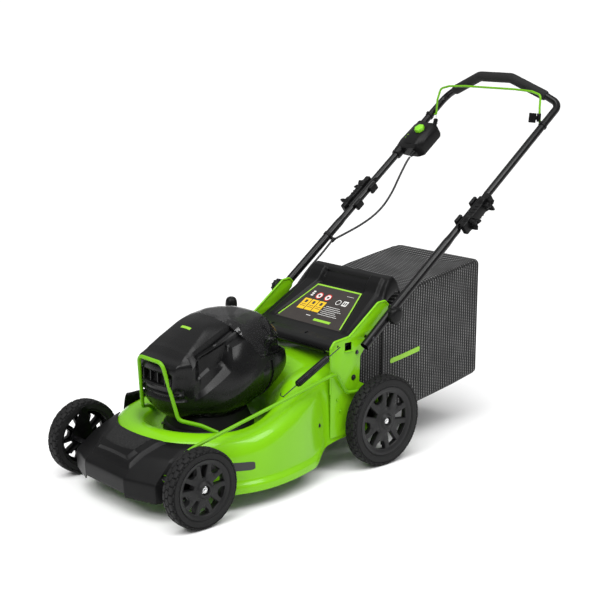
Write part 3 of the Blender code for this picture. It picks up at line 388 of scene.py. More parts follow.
def grid_shape(rows, wrap=False, cap_start=False, cap_end=False):
    shape = bmesh.new()
    grid = [[shape.verts.new(point) for point in row] for row in rows]
    for upper, lower in zip(grid, grid[1:]):
        count = len(upper) if wrap else len(upper) - 1
        for k in range(count):
            following = (k + 1) % len(upper)
            shape.faces.new((upper[k], upper[following], lower[following], lower[k]))
    if cap_start:
        shape.faces.new(grid[0])
    if cap_end:
        shape.faces.new(grid[-1][::-1])
    bmesh.ops.recalc_face_normals(shape, faces=shape.faces)
    return shape


def thick(obj, thickness, offset=-1.0, even=True):
    skin = obj.modifiers.new("skin", "SOLIDIFY")
    skin.thickness = thickness
    skin.offset = offset
    skin.use_even_offset = even
    return baked(obj)


def cut(obj, *cutters):
    for cutter in cutters:
        step = obj.modifiers.new("cut", "BOOLEAN")
        step.operation = "DIFFERENCE"
        step.object = cutter
        step.solver = "EXACT"
    obj = baked(obj)
    for cutter in cutters:
        bpy.data.objects.remove(cutter, do_unlink=True)
    return obj


def block(name, low, high, finish, bevel=0.0, segments=3, rotation=(0, 0, 0)):
    low, high = (Vector(tuple(map(pick, low, high))) for pick in (min, max))
    shape = bmesh.new()
    bmesh.ops.create_cube(shape, size=1.0)
    bmesh.ops.scale(shape, vec=high - low, verts=shape.verts)
    obj = solid(name, shape, finish, (low + high) / 2, rotation)
    return bevelled(obj, bevel, segments) if bevel else obj


def lathe(name, profile, finish, location=(0, 0, 0), rotation=(0, 0, 0), steps=64):
    """A profile of (radius, height) turned about its own Z; closed when it starts off axis."""
    shape = bmesh.new()
    grid = []
    for k in range(steps):
        angle = math.tau * k / steps
        grid.append([shape.verts.new((radius * math.cos(angle), radius * math.sin(angle), height))
                     for radius, height in profile])
    closed = profile[0][0] > 1e-6
    count = len(profile) if closed else len(profile) - 1
    for k in range(steps):
        here, following = grid[k], grid[(k + 1) % steps]
        for j in range(count):
            other = (j + 1) % len(profile)
            shape.faces.new((here[j], following[j], following[other], here[other]))
    bmesh.ops.remove_doubles(shape, verts=shape.verts, dist=1e-6)
    bmesh.ops.recalc_face_normals(shape, faces=shape.faces)
    return solid(name, shape, finish, location, rotation)


def sweep_rows(points, radius, sides=20, closed=False):
    """Rings round a path; radius is a number or a function of the share along the path."""
    points = [Vector(point) for point in points]
    count = len(points)
    tangents = []
    for k in range(count):
        ahead = points[(k + 1) % count] if closed or k + 1 < count else points[k]
        behind = points[k - 1] if closed or k else points[0]
        tangents.append((ahead - behind).normalized())
    normal = tangents[0].orthogonal().normalized()
    if abs(tangents[0].x) < 0.9:
        normal = Vector((1.0, 0.0, 0.0)).cross(tangents[0]).normalized()
    rows = []
    for k, (point, tangent) in enumerate(zip(points, tangents)):
        if k:
            normal = tangents[k - 1].rotation_difference(tangent) @ normal
        normal = (normal - tangent * normal.dot(tangent)).normalized()
        side = tangent.cross(normal)
        size = radius(k / max(count - 1, 1)) if callable(radius) else radius
        rows.append([tuple(point + (normal * math.cos(a) + side * math.sin(a)) * size)
                     for a in (math.tau * j / sides for j in range(sides))])
    return rows


def pipe(name, points, radius, finish, sides=20, closed=False):
    rows = sweep_rows(points, radius, sides, closed)
    if closed:
        rows.append(rows[0])
    shape = grid_shape(rows, True, not closed, not closed)
    if closed:
        bmesh.ops.remove_doubles(shape, verts=shape.verts, dist=1e-6)
    bmesh.ops.recalc_face_normals(shape, faces=shape.faces)
    return solid(name, shape, finish)


def rounded(points, radius, steps=8, cyclic=False):
    """The polyline with each corner replaced by an arc."""
    points = [Vector(point) for point in points]
    count = len(points)
    path = []
    for k, corner in enumerate(points):
        if not cyclic and k in (0, count - 1):
            path.append(corner)
            continue
        before, after = points[k - 1], points[(k + 1) % count]
        inward = (before - corner).normalized()
        outward = (after - corner).normalized()
        half = inward.angle(outward) / 2
        if half > 1.5:
            path.append(corner)
            continue
        reach = min(radius / math.tan(half), 0.49 * (before - corner).length,
                    0.49 * (after - corner).length)
        start, end = corner + inward * reach, corner + outward * reach
        centre = corner + (inward + outward).normalized() * reach / math.cos(half)
        for step in range(steps + 1):
            swing = (start - centre).slerp(end - centre, step / steps)
            path.append(centre + swing.normalized() * (start - centre).length)
    return path


def flowing(points, steps, beyond=None):
    """A Catmull-Rom curve through points of any dimension, with those beyond its two ends."""
    points = [Vector(point) for point in points]
    before, after = beyond or (2 * points[0] - points[1], 2 * points[-1] - points[-2])
    ends = [Vector(before), *points, Vector(after)]
    path = []
    for p0, p1, p2, p3 in zip(ends, ends[1:], ends[2:], ends[3:]):
        for step in range(steps):
            s = step / steps
            path.append(0.5 * (2 * p1 + (p2 - p0) * s + (2 * p0 - 5 * p1 + 4 * p2 - p3) * s * s
                               + (3 * p1 - p0 - 3 * p2 + p3) * s ** 3))
    path.append(points[-1])
    return path


def prism(name, outline, low, high, finish, axis="X", holes=(), bevel=0.0, segments=2):
    """A flat outline extruded along an axis. Outlines are (Y, Z) for X, (X, Y) for Z."""
    low, high = sorted((low, high))
    data = bpy.data.curves.new(name, "CURVE")
    data.dimensions = "2D"
    data.fill_mode = "BOTH"
    data.extrude = (high - low) / 2 - bevel
    data.bevel_depth = bevel
    data.bevel_resolution = segments - 1
    data.offset = -bevel
    for points in (outline, *holes):
        spline = data.splines.new("POLY")
        spline.points.add(len(points) - 1)
        for point, spot in zip(spline.points, points):
            point.co = (spot[0], spot[1], 0.0, 1.0)
        spline.use_cyclic_u = True
    obj = bpy.data.objects.new(name, data)
    COLLECTION.objects.link(obj)
    if axis == "X":
        obj.matrix_world = Matrix.Translation(((low + high) / 2, 0, 0)) @ Matrix(
            ((0, 0, 1, 0), (1, 0, 0, 0), (0, 1, 0, 0), (0, 0, 0, 1)))
    else:
        obj.matrix_world = Matrix.Translation((0, 0, (low + high) / 2))
    obj = baked(obj)
    obj.data.transform(obj.matrix_world)
    obj.matrix_world = Matrix.Identity(4)
    shape = bmesh.new()
    shape.from_mesh(obj.data)
    bmesh.ops.remove_doubles(shape, verts=shape.verts, dist=1e-5)
    bmesh.ops.recalc_face_normals(shape, faces=shape.faces)
    shape.to_mesh(obj.data)
    shape.free()
    obj.data.materials.clear()
    obj.data.materials.append(finish)
    return obj


def circle(centre, radius, sides=32):
    return [(centre[0] + radius * math.cos(math.tau * k / sides),
             centre[1] + radius * math.sin(math.tau * k / sides)) for k in range(sides)]


def mirrored(points):
    return [(-point[0], *point[1:]) for point in points]


def between(low, high, count):
    """Evenly spaced numbers from low to high, in count steps."""
    return [low + (high - low) * k / count for k in range(count + 1)]


def step_between(low, high, share):
    share = min(max(share, 0.0), 1.0)
    return low + (high - low) * share * share * (3 - 2 * share)


def ramp(value, width):
    return min(max(value / width, 0.0), 1.0)


def bolt_head(name, centre, radius, height, finish, direction=(1, 0, 0), washer=True):
    """A hex head with a chamfer on a washer, facing a direction."""
    shape = bmesh.new()
    for low, high, size, sides, tip in (
            (0.0, height * 0.25, radius * 1.35, 32, 0.97) if washer else (0.0, 0.0, 0.0, 0, 0.0),
            (height * 0.25 if washer else 0.0, height * 0.82, radius, 6, 1.0),
            (height * 0.82, height, radius, 6, 0.86)):
        if sides:
            made = bmesh.ops.create_cone(shape, cap_ends=True, segments=sides, radius1=size,
                                         radius2=size * tip, depth=high - low)
            bmesh.ops.translate(shape, vec=(0, 0, (low + high) / 2), verts=made["verts"])
    bmesh.ops.transform(shape, matrix=Matrix.Translation(centre) @ facing(direction),
                        verts=shape.verts)
    return solid(name, shape, finish)


def facing(direction):
    """The turn that points +Z along a direction."""
    return Vector(direction).to_track_quat("Z", "Y").to_matrix().to_4x4()


def tree_of(*objects):
    """A search tree over the objects' final meshes, for pieces that follow their surface."""
    shape = bmesh.new()
    for obj in objects:
        shape.from_mesh(obj.data)
    tree = BVHTree.FromBMesh(shape)
    shape.free()
    return tree


def draped(name, tree, spots, direction, offset, finish):
    """A thin patch whose grid of spots is dropped along a direction onto a surface."""
    direction = Vector(direction).normalized()
    rows = []
    for row in spots:
        made = []
        for spot in row:
            hit, normal, _, _ = tree.ray_cast(Vector(spot), direction)
            if hit is None:
                hit, normal = Vector(spot), -direction
            if normal.dot(direction) > 0:
                normal = -normal
            made.append(tuple(hit + normal * offset))
        rows.append(made)
    return solid(name, grid_shape(rows), finish)


# Wheels

SIDES = ((1, "left"), (-1, "right"))
WHEELBASE = 0.6474
RADIUS = {"front": 0.1016, "rear": 0.127}
FACE_X = {"front": 0.2841, "rear": 0.2555}
WIDTH = {"front": 0.045, "rear": 0.041}
RIM_SHARE = 0.755
TREAD_LANE = 0.62


def tread_depth(turn, across, cells_round):
    """How far a point of the tread lies below the block tops, across from -1 to 1."""
    pitch = math.tau / cells_round
    skew = turn / pitch
    best, second = 9.0, 9.0
    for lane in range(-2, 3):
        lane_y = lane * TREAD_LANE
        shift = 0.5 if lane % 2 else 0.0
        nearest = round(skew - shift) + shift
        for cell in (nearest - 1, nearest, nearest + 1):
            reach = math.hypot(skew - cell, (across - lane_y) / TREAD_LANE * 0.95)
            if reach < best:
                best, second = reach, best
            elif reach < second:
                second = reach
    return 1.0 - step_between(0.0, 1.0, (second - best - 0.05) / 0.12)


def tyre(tag, end, middle, turn_side):
    radius, half = RADIUS[end], WIDTH[end] / 2
    cells = 30 if end == "front" else 36
    bead = RIM_SHARE * radius
    side = [(bead, half - 0.0050), (bead + 0.0012, half - 0.0030), (0.785 * radius, half - 0.0012),
            (0.800 * radius, half - 0.0002), (0.815 * radius, half - 0.0008),
            (0.850 * radius, half - 0.0004), (0.880 * radius, half - 0.0006),
            (0.905 * radius, half - 0.0010), (0.918 * radius, half - 0.0030)]
    lanes = 22
    top = []
    for k in range(lanes + 1):
        across = 1.0 - 2.0 * k / lanes
        shoulder = max(0.0, abs(across) - 0.74) / 0.26
        drop = 0.0024 * abs(across) ** 3.2 + 0.0046 * shoulder ** 1.6
        top.append((radius - 0.0002 - drop, across * (half - 0.0008), across))
    around = cells * 10
    rows = []
    for j in range(around):
        turn = math.tau * j / around
        ring = list(side)
        for r, z, across in top:
            deep = tread_depth(turn, across * 1.05, cells)
            reach = abs(z) - 0.0022 * deep * ramp(abs(across) - 0.70, 0.30)
            ring.append((r - 0.0040 * deep, math.copysign(reach, z)))
        ring += [(r, -z) for r, z in side[::-1]]
        rows.append([(r * math.cos(turn), r * math.sin(turn), z) for r, z in ring])
    rows.append(rows[0])
    shape = grid_shape(rows)
    bmesh.ops.remove_doubles(shape, verts=shape.verts, dist=1e-6)
    edges = [e for e in shape.edges if e.is_boundary]
    bmesh.ops.bridge_loops(shape, edges=edges)
    bmesh.ops.recalc_face_normals(shape, faces=shape.faces)
    obj = solid("tyre_look_" + tag, shape, RUBBER, middle, (0, turn_side * math.pi / 2, 0))
    return place(obj, "wheel_" + tag, "tyre_rubber", "tyre_" + tag, angle=30)


def rim(tag, end, middle, turn_side):
    """Ten windows: five long slots and five short ones nearer the edge, each in a sunk frame."""
    radius, half = RADIUS[end], WIDTH[end] / 2
    out = RIM_SHARE * radius - 0.0004
    web = half - 0.0075
    sectors = 10
    windows = []
    for k in range(sectors):
        if k % 2 == 0:
            windows.append(((0.40, 0.150), (0.82, 0.190)))
        else:
            windows.append(((0.60, 0.110), (0.84, 0.235)))
    levels = [0.30, 0.385, 0.40, 0.42, 0.50, 0.585, 0.60, 0.615, 0.70, 0.805, 0.82, 0.84, 0.855]

    def half_angle(k, level):
        (inner, at_inner), (outer, at_outer) = windows[k]
        share = min(max((level - inner) / (outer - inner), 0.0), 1.0)
        if k % 2:
            share = min(share * 2.2, 1.0)
        return at_inner + (at_outer - at_inner) * share

    def inside(k, low, high):
        return low >= windows[k][0][0] - 1e-6 and high <= windows[k][1][0] + 1e-6

    frame_step = 0.028
    shape = bmesh.new()
    grid = []
    for level in levels:
        ring = []
        for k in range(sectors):
            centre = math.tau * (k + 0.5) / sectors
            reach = half_angle(k, level)
            margin = frame_step / max(level, 0.3) * 0.55
            offsets = [-reach - margin, -reach, -0.5 * reach, 0.0, 0.5 * reach, reach,
                       reach + margin]
            for j, offset in enumerate(offsets):
                ring.append((level, centre + offset, k, j))
        grid.append(ring)
    count = len(grid[0])

    def dish(level):
        return web + 0.0016 * step_between(0, 1, (0.45 - level) / 0.15) \
            + 0.0030 * step_between(0, 1, (level - 0.855) / 0.05)

    verts = []
    for ring in grid:
        made = []
        for level, angle, k, j in ring:
            r = level * out
            lip = windows[k][0][0] - 0.016 <= level <= windows[k][1][0] + 0.016
            sunk = 0.0018 if (1 <= j <= 5 and lip) else 0.0
            z = dish(level) - sunk
            made.append(shape.verts.new((r * math.cos(angle), r * math.sin(angle), z)))
        verts.append(made)
    for i in range(len(levels) - 1):
        for c in range(count):
            d = (c + 1) % count
            k, j = grid[i][c][2], grid[i][c][3]
            if 1 <= j <= 4 and inside(k, levels[i], levels[i + 1]):
                continue
            shape.faces.new((verts[i][c], verts[i][d], verts[i + 1][d], verts[i + 1][c]))
    hub_ring, outer_ring = set(verts[0]), set(verts[-1])
    window_edges = [e for e in shape.edges if e.is_boundary
                    and not hub_ring.issuperset(e.verts) and not outer_ring.issuperset(e.verts)]
    walls = bmesh.ops.extrude_edge_only(shape, edges=window_edges)
    bmesh.ops.translate(shape, vec=(0, 0, -0.013),
                        verts=[v for v in walls["geom"] if isinstance(v, bmesh.types.BMVert)])
    bmesh.ops.recalc_face_normals(shape, faces=shape.faces)
    face = solid("rim_face", shape, RIM_PLASTIC)
    face = thick(face, 0.0016, -1.0)
    face = bevelled(face, 0.0005, 2, 50)
    bevel_lathe = lathe("rim_ring", [
        (0.84 * out, web + 0.0004), (0.855 * out, web + 0.0004), (0.900 * out, web + 0.0028),
        (0.915 * out, web + 0.0036), (0.945 * out, web + 0.0038), (out - 0.0018, half - 0.0028),
        (out, half - 0.0032), (out, -half + 0.004), (out - 0.003, -half + 0.004),
        (out - 0.004, web - 0.012), (0.86 * out, web - 0.002)], RIM_PLASTIC, steps=120)
    hub = lathe("rim_hub", [
        (0.0118, half - 0.0098), (0.0118, half + 0.0004), (0.0128, half + 0.0012),
        (0.0165, half + 0.0012), (0.0185, half - 0.0004), (0.0205, web + 0.0040),
        (0.0225, web + 0.0024), (0.31 * out, web + 0.0018), (0.31 * out, web - 0.0012),
        (0.019, web - 0.003), (0.017, -half + 0.002), (0.0060, -half + 0.002),
        (0.0060, half - 0.0098)], RIM_PLASTIC, steps=72)
    ribs = []
    for k in range(sectors):
        angle = math.tau * k / sectors
        rib = block("rib", (0.020, -0.0011, -half * 0.55), (0.80 * out, 0.0011, web - 0.0014),
                    RIM_PLASTIC)
        rib.data.transform(Matrix.Rotation(angle, 4, "Z"))
        ribs.append(rib)
    obj = joined(face, bevel_lathe, hub, *ribs)
    obj.name = "rim_look_" + tag
    spin = Matrix.Rotation(math.radians(17 if end == "front" else 5), 4, "Z")
    obj.data.transform(Matrix.Translation(middle) @ Matrix.Rotation(
        turn_side * math.pi / 2, 4, "Y") @ spin)
    return place(obj, "wheel_" + tag, "black_plastic", "rim_" + tag, angle=32)


def hub_bolt(tag, end, middle, turn_side):
    half = WIDTH[end] / 2
    nut = lathe("hub_bolt_look_" + tag, [
        (0.0, half - 0.0002), (0.0032, half - 0.0003), (0.0046, half - 0.0012),
        (0.0050, half - 0.0030), (0.0072, half - 0.0032), (0.0078, half - 0.0042),
        (0.0078, half - 0.0060), (0.0100, half - 0.0062), (0.0104, half - 0.0068),
        (0.0104, half - 0.0085), (0.0, half - 0.0085)], CHROME, middle,
        (0, turn_side * math.pi / 2, 0), 48)
    hexagon = bolt_head("hex", Vector(middle) + Vector((turn_side * (half - 0.0080), 0, 0)),
                        0.0068, 0.0052, CHROME, (turn_side, 0, 0), False)
    nut = joined(nut, hexagon)
    return place(nut, end + "_axle", "chrome", "hub_nut_" + tag, angle=30)


def add_wheels():
    for end in ("front", "rear"):
        for side, word in SIDES:
            tag = f"{end}_{word}"
            y = -WHEELBASE if end == "front" else 0.0
            middle = (side * (FACE_X[end] - 0.001 - WIDTH[end] / 2), y, RADIUS[end])
            tyre(tag, end, middle, side)
            rim(tag, end, middle, side)
            hub_bolt(tag, end, middle, side)


# Deck

DECK_Y = -0.42
DECK_RADIUS = 0.258
WELL_RADIUS = 0.126
HUB_RADIUS = 0.030
CHUTE_HALF = 0.1968
CHUTE_END_Y = 0.055
CHUTE_ANGLE = 141.0


def deck_outline(angle):
    if angle <= 90:
        return DECK_RADIUS
    if angle < CHUTE_ANGLE:
        return DECK_RADIUS + 0.0545 * ((angle - 90) / (CHUTE_ANGLE - 90)) ** 2.5
    sine = max(math.sin(math.radians(angle)), 0.001)
    cosine = -math.cos(math.radians(angle))
    return min(CHUTE_HALF / sine, (CHUTE_END_Y - DECK_Y) / cosine)


def deck_profile(angle):
    rise = step_between(0.0, 0.125, (angle - 68) / 120)
    skirt = deck_outline(angle)
    stretch = skirt / DECK_RADIUS
    flare = step_between(0.010, 0.0, (angle - 125) / 15)
    lift = step_between(0.0, 0.045, (angle - 125) / 25)
    return [
        (WELL_RADIUS, 0.148),
        (0.138, 0.1495),
        (0.150, 0.156 + 0.05 * rise),
        (0.168, 0.174 + 0.35 * rise),
        (0.190 * (1 + 0.35 * (stretch - 1)), 0.188 + 0.85 * rise),
        (0.214 * (1 + 0.8 * (stretch - 1)), 0.188 + rise),
        (0.238 * stretch, 0.174 + rise),
        (0.251 * stretch, 0.150 + 0.9 * rise),
        (0.256 * stretch, 0.112 + 0.3 * rise),
        (skirt, 0.082 + lift),
        (skirt + 0.15 * flare, 0.076 + lift),
        (skirt + 0.75 * flare, 0.0690 + lift),
        (skirt + flare, 0.064 + lift),
        (skirt + flare, 0.048 + lift),
    ]


def deck_rows(turns, steps=5):
    columns = []
    for k in range(turns):
        turn = 360.0 * k / turns
        angle = turn if turn <= 180 else 360 - turn
        side, ahead = math.sin(math.radians(turn)), math.cos(math.radians(turn))
        profile = deck_profile(angle)
        upper = flowing(profile[:10], steps)
        lower = flowing(profile[9:13], 3)
        path = upper + lower[1:] + [Vector(profile[13])]
        columns.append([(r * side, DECK_Y - r * ahead, z) for r, z in path])
    return [[column[k] for column in columns] for k in range(len(columns[0]))]


def add_deck():
    rows = deck_rows(216)
    inner = [(HUB_RADIUS * x / WELL_RADIUS, DECK_Y + HUB_RADIUS * (y - DECK_Y) / WELL_RADIUS, 0.148)
             for x, y, _ in rows[0]]
    rows = [inner] + rows
    shape = grid_shape(rows, True)
    deck = solid("deck_look", shape, LIME)
    deck = thick(deck, 0.0025, -1.0)
    mouth = block("mouth", (-0.165, -0.01, 0.12), (0.165, 0.10, 0.285), LIME)
    bores = pipe("bores", [(-0.25, -0.045, 0.139), (0.25, -0.045, 0.139)], 0.007, LIME, 24)
    port = block("port", (-0.30, -0.495, 0.090), (-0.22, -0.365, 0.150), LIME)
    notch = prism("notch", [(-0.0590, 0.42), (-0.0590, 0.2390), (0.0085, 0.2030),
                            (0.0480, 0.1685), (0.12, 0.1685), (0.12, 0.42)], -0.26, 0.26, LIME)
    deck = cut(deck, mouth, bores, port, notch)
    tree = tree_of(deck)
    place(deck, "chassis", "lime_paint", "deck_shell", angle=35)
    stripe = []
    low, high = 0.1130, 0.1345
    for share in between(0.0, 1.0, 30):
        y = -0.640 + share * (0.640 - 0.4672)
        edge = min(1.0, (1.0 - share) * 10.0)
        trim = 0.0035 * (1.0 - math.sqrt(max(0.0, 1 - (1 - edge) ** 2)))
        sink = 0.010 * share
        stripe.append([(0.40, y, low - sink + trim + (high - low - 2 * trim) * j / 6)
                       for j in range(7)])
    decal = draped("deck_stripe", tree, stripe, (-1, 0, 0), 0.0004, DECAL_BLACK)
    place(decal, "chassis", "black_paint")
    for side in (1, -1):
        spot, normal, _, _ = tree.ray_cast(Vector((side * 0.40, -0.210, 0.150)),
                                           Vector((-side, 0, 0)))
        if spot is not None:
            head = bolt_head("deck_bolt", spot, 0.0042, 0.003, DARK_STEEL, normal)
            place(head, "chassis", "steel")


NOSE_BACK = 0.2405


def nose_front(share):
    corners = [(0.0, 0.0, -0.7535), (0.43, 0.0865, -0.7535), (0.85, 0.178, -0.722),
               (1.0, 0.203, -0.640)]
    size = abs(share)
    for (start, x0, y0), (end, x1, y1) in zip(corners, corners[1:]):
        if size <= end + 1e-9:
            part = (size - start) / (end - start)
            return math.copysign(x0 + (x1 - x0) * part, share), y0 + (y1 - y0) * part
    return math.copysign(corners[-1][1], share), corners[-1][2]


def nose_point(share, part, height):
    swing = math.radians(47 * share)
    back = Vector((NOSE_BACK * math.sin(swing), DECK_Y - NOSE_BACK * math.cos(swing)))
    front = Vector(nose_front(share))
    spot = back.lerp(front, part)
    return spot.x, spot.y, height


NOSE_HEIGHTS = [(0.0, 0.1765), (0.2, 0.170), (0.5, 0.152), (0.85, 0.118), (0.97, 0.106)]


def nose_height(part):
    for (start, low), (end, high) in zip(NOSE_HEIGHTS, NOSE_HEIGHTS[1:]):
        if part <= end:
            return low + (high - low) * (part - start) / (end - start)
    return NOSE_HEIGHTS[-1][1]


def add_nose():
    shares = [k / 40 for k in range(-40, 41)]
    shares = sorted(set(shares + [-0.445, -0.430, 0.430, 0.445]))
    rows = []
    for k in range(21):
        part = 0.97 * k / 20
        rows.append([nose_point(s, part, nose_height(part)) for s in shares])
    for part, height in ((0.985, 0.1035), (0.995, 0.1005), (1.0, 0.097)):
        rows.append([nose_point(s, part, height) for s in shares])
    for drop in (0.0, 0.35, 0.7, 1.0):
        row = []
        for s in shares:
            bottom = 0.064 if abs(s) < 0.435 else 0.054
            x, y, _ = nose_point(s, 1.0 - 0.015 * drop, 0.0)
            row.append((x, y, 0.090 + (bottom - 0.090) * drop))
        rows.append(row)
    nose = solid("nose_look", grid_shape(rows), BLACK_PLASTIC)
    nose = thick(nose, 0.0028, -1.0)
    bores = pipe("bores", [(-0.25, -0.6924, 0.1136), (0.25, -0.6924, 0.1136)], 0.009,
                 BLACK_PLASTIC, 24)
    nose = cut(nose, bores)
    nose = bevelled(nose, 0.0008, 2, 50)
    tree = tree_of(nose)
    place(nose, "chassis", "black_plastic", "nose_cover", angle=30)

    def on_nose(x, y):
        hit = tree.ray_cast(Vector((x, y, 0.30)), Vector((0, 0, -1)))[0]
        return hit.z if hit is not None else 0.1

    def raised(name, half_back, half_front, back_y, front_y, rise, slope, finish):
        """A raised pad on the nose with sloped sides."""
        spots = []
        us = [-1.0 - slope, -1.0 - 0.35 * slope, *between(-1.0, 1.0, 24), 1.0 + 0.35 * slope,
              1.0 + slope]
        vs = [-slope * 0.9, -slope * 0.3, *between(0.0, 1.0, 16), 1.0 + slope * 0.3,
              1.0 + slope * 0.9]
        for v in vs:
            row = []
            for u in us:
                inside_v = min(max(v, 0.0), 1.0)
                half = half_back + (half_front - half_back) * inside_v
                x = u * half
                bow = NOSE_BACK - math.sqrt(max(NOSE_BACK ** 2 - x * x, 0.0))
                y = back_y + (front_y - back_y) * v + 0.75 * bow * (1 - inside_v)
                outside = max(abs(u) - 1.0, -v, v - 1.0, 0.0) / slope
                height = rise * (1.0 - step_between(0.0, 1.0, outside * 1.2))
                row.append((x, y, on_nose(x, y) + height - (0.002 if outside > 0.8 else 0.0)))
            spots.append(row)
        return solid(name, grid_shape(spots), finish)

    pad = raised("nose_pad", 0.102, 0.078, -0.664, -0.7290, 0.0075, 0.13, BLACK_PLASTIC)
    place(pad, "chassis", "black_plastic", angle=25)
    inset = raised("nose_inset", 0.078, 0.060, -0.6665, -0.7130, 0.0088, 0.05, PEBBLED)
    place(inset, "chassis", "black_plastic", angle=25)
    lip = raised("nose_lip", 0.070, 0.060, -0.7140, -0.7235, 0.0150, 0.30, BLACK_PLASTIC)
    place(lip, "chassis", "black_plastic", angle=25)


def add_guard():
    half = [(0.142, -0.496, 0.1765), (0.116, -0.533, 0.1985), (0.079, -0.576, 0.213),
            (0.051, -0.603, 0.362)]
    path = half + mirrored(half[::-1])
    guard = pipe("guard_look", rounded(path, 0.020, 8), 0.0052, LIME_DEEP, 20)
    heads = []
    for side in (1, -1):
        heads.append(block("foot", (side * 0.142 - 0.010, -0.506, 0.1745),
                           (side * 0.142 + 0.010, -0.484, 0.1785), LIME_DEEP, 0.0015))
        heads.append(bolt_head("bolt", (side * 0.142, -0.495, 0.1785), 0.0052, 0.004,
                               DARK_STEEL, (0, 0, 1)))
    place(joined(guard, *heads), "chassis", "lime_paint", "front_guard")


# Motor hood, battery lid and battery

HOOD_SECTIONS = [
    # height, front Y, rear Y, half-width at the front, middle and rear
    (0.2015, -0.546, -0.320, 0.056, 0.104, 0.055),
    (0.222, -0.566, -0.290, 0.064, 0.126, 0.068),
    (0.255, -0.584, -0.254, 0.074, 0.142, 0.085),
    (0.300, -0.592, -0.222, 0.082, 0.150, 0.096),
    (0.350, -0.588, -0.224, 0.090, 0.140, 0.090),
    (0.370, -0.562, -0.232, 0.084, 0.132, 0.086),
    (0.402, -0.514, -0.248, 0.074, 0.116, 0.078),
    (0.434, -0.466, -0.276, 0.060, 0.092, 0.064),
    (0.450, -0.425, -0.315, 0.036, 0.058, 0.042),
]
HOOD_FOOT = 0.2150
HOOD_FRONT = -0.5480
HOOD_REAR = -0.3000
HOOD_CROWN = 0.0042
LID_HINGE = Vector((0.0, -0.4285, 0.4525))
LID_KNEE = Vector((0.0, -0.345, 0.345))
# The lid's lower joint drops this far over this run, back from the knee
LID_RUN, LID_DROP = 0.245, 0.010
# Lines in (Y, Z), seen from the side: the top edge of the hood's raised flank, and of the step
# ahead of it
FLANK = [(-0.620, 0.222), (-0.560, 0.245), (-0.532, 0.2617), (-0.4542, 0.3306),
         (-0.4329, 0.3866), (-0.372, 0.404), (-0.300, 0.420)]
STEP = [(-0.620, 0.292), (-0.575, 0.296), (-0.5473, 0.3019), (-0.4959, 0.3359),
        (-0.4645, 0.3398), (-0.4500, 0.3480), (-0.4370, 0.3890), (-0.372, 0.410),
        (-0.300, 0.425)]
# Everything above this line, seen from the side, is the hood's top
SHOULDER = [(-0.640, 0.3294), (-0.5588, 0.3294), (-0.5327, 0.3619), (-0.4978, 0.3747),
            (-0.4605, 0.3894), (-0.385, 0.4203), (-0.300, 0.450)]
SEAM = [(-0.640, 0.2200), (-0.5161, 0.2305), (-0.4612, 0.2564), (-0.4201, 0.2745),
        (-0.3798, 0.2986), (-0.3257, 0.3290), (-0.200, 0.3450)]


def hood_loop(height, front, rear, front_width, mid_width, rear_width):
    length = rear - front
    half = [(0.0, front - 0.008), (0.75 * front_width, front), (front_width, front + 0.012),
            (0.5 * (front_width + mid_width), front + 0.22 * length),
            (mid_width, front + 0.46 * length),
            (0.45 * rear_width + 0.55 * mid_width, front + 0.78 * length),
            (rear_width, rear - 0.014), (0.65 * rear_width, rear), (0.0, rear + 0.003)]
    return [(x, y, height) for x, y in half]


def hood_columns(fine):
    """Half loops at every section, smoothed round the hood."""
    halves = [hood_loop(*section) for section in HOOD_SECTIONS]
    return [flowing(half, fine, mirrored((half[1], half[-2]))) for half in halves]


def height_at(line, y):
    for (y0, z0), (y1, z1) in zip(line, line[1:]):
        if y <= y1:
            return z0 + (z1 - z0) * (y - y0) / (y1 - y0)
    return line[-1][1]


def hood_detail(point):
    """The intakes across the hood's front."""
    side = abs(point.x)
    y, z = point.y, point.z
    move = 0.0
    if y < -0.50 and z < 0.352:
        face = ramp(-0.548 - y, 0.012)
        for low, high, depth, reach in ((0.3010, 0.3290, 0.014, 0.070),
                                        (0.2785, 0.2920, 0.008, 0.088),
                                        (0.2600, 0.2700, 0.007, 0.090)):
            bank = min(z - low, high - z)
            move -= depth * face * ramp(bank + 0.0016, 0.0034) * ramp(reach - side, 0.008)
        move += 0.0020 * face * ramp(min(z - 0.3300, 0.3520 - z), 0.004) * ramp(
            0.082 - side, 0.02)
    return move - 0.0030 * ramp(HOOD_FRONT - y, 0.02) * ramp(z - 0.29, 0.03)


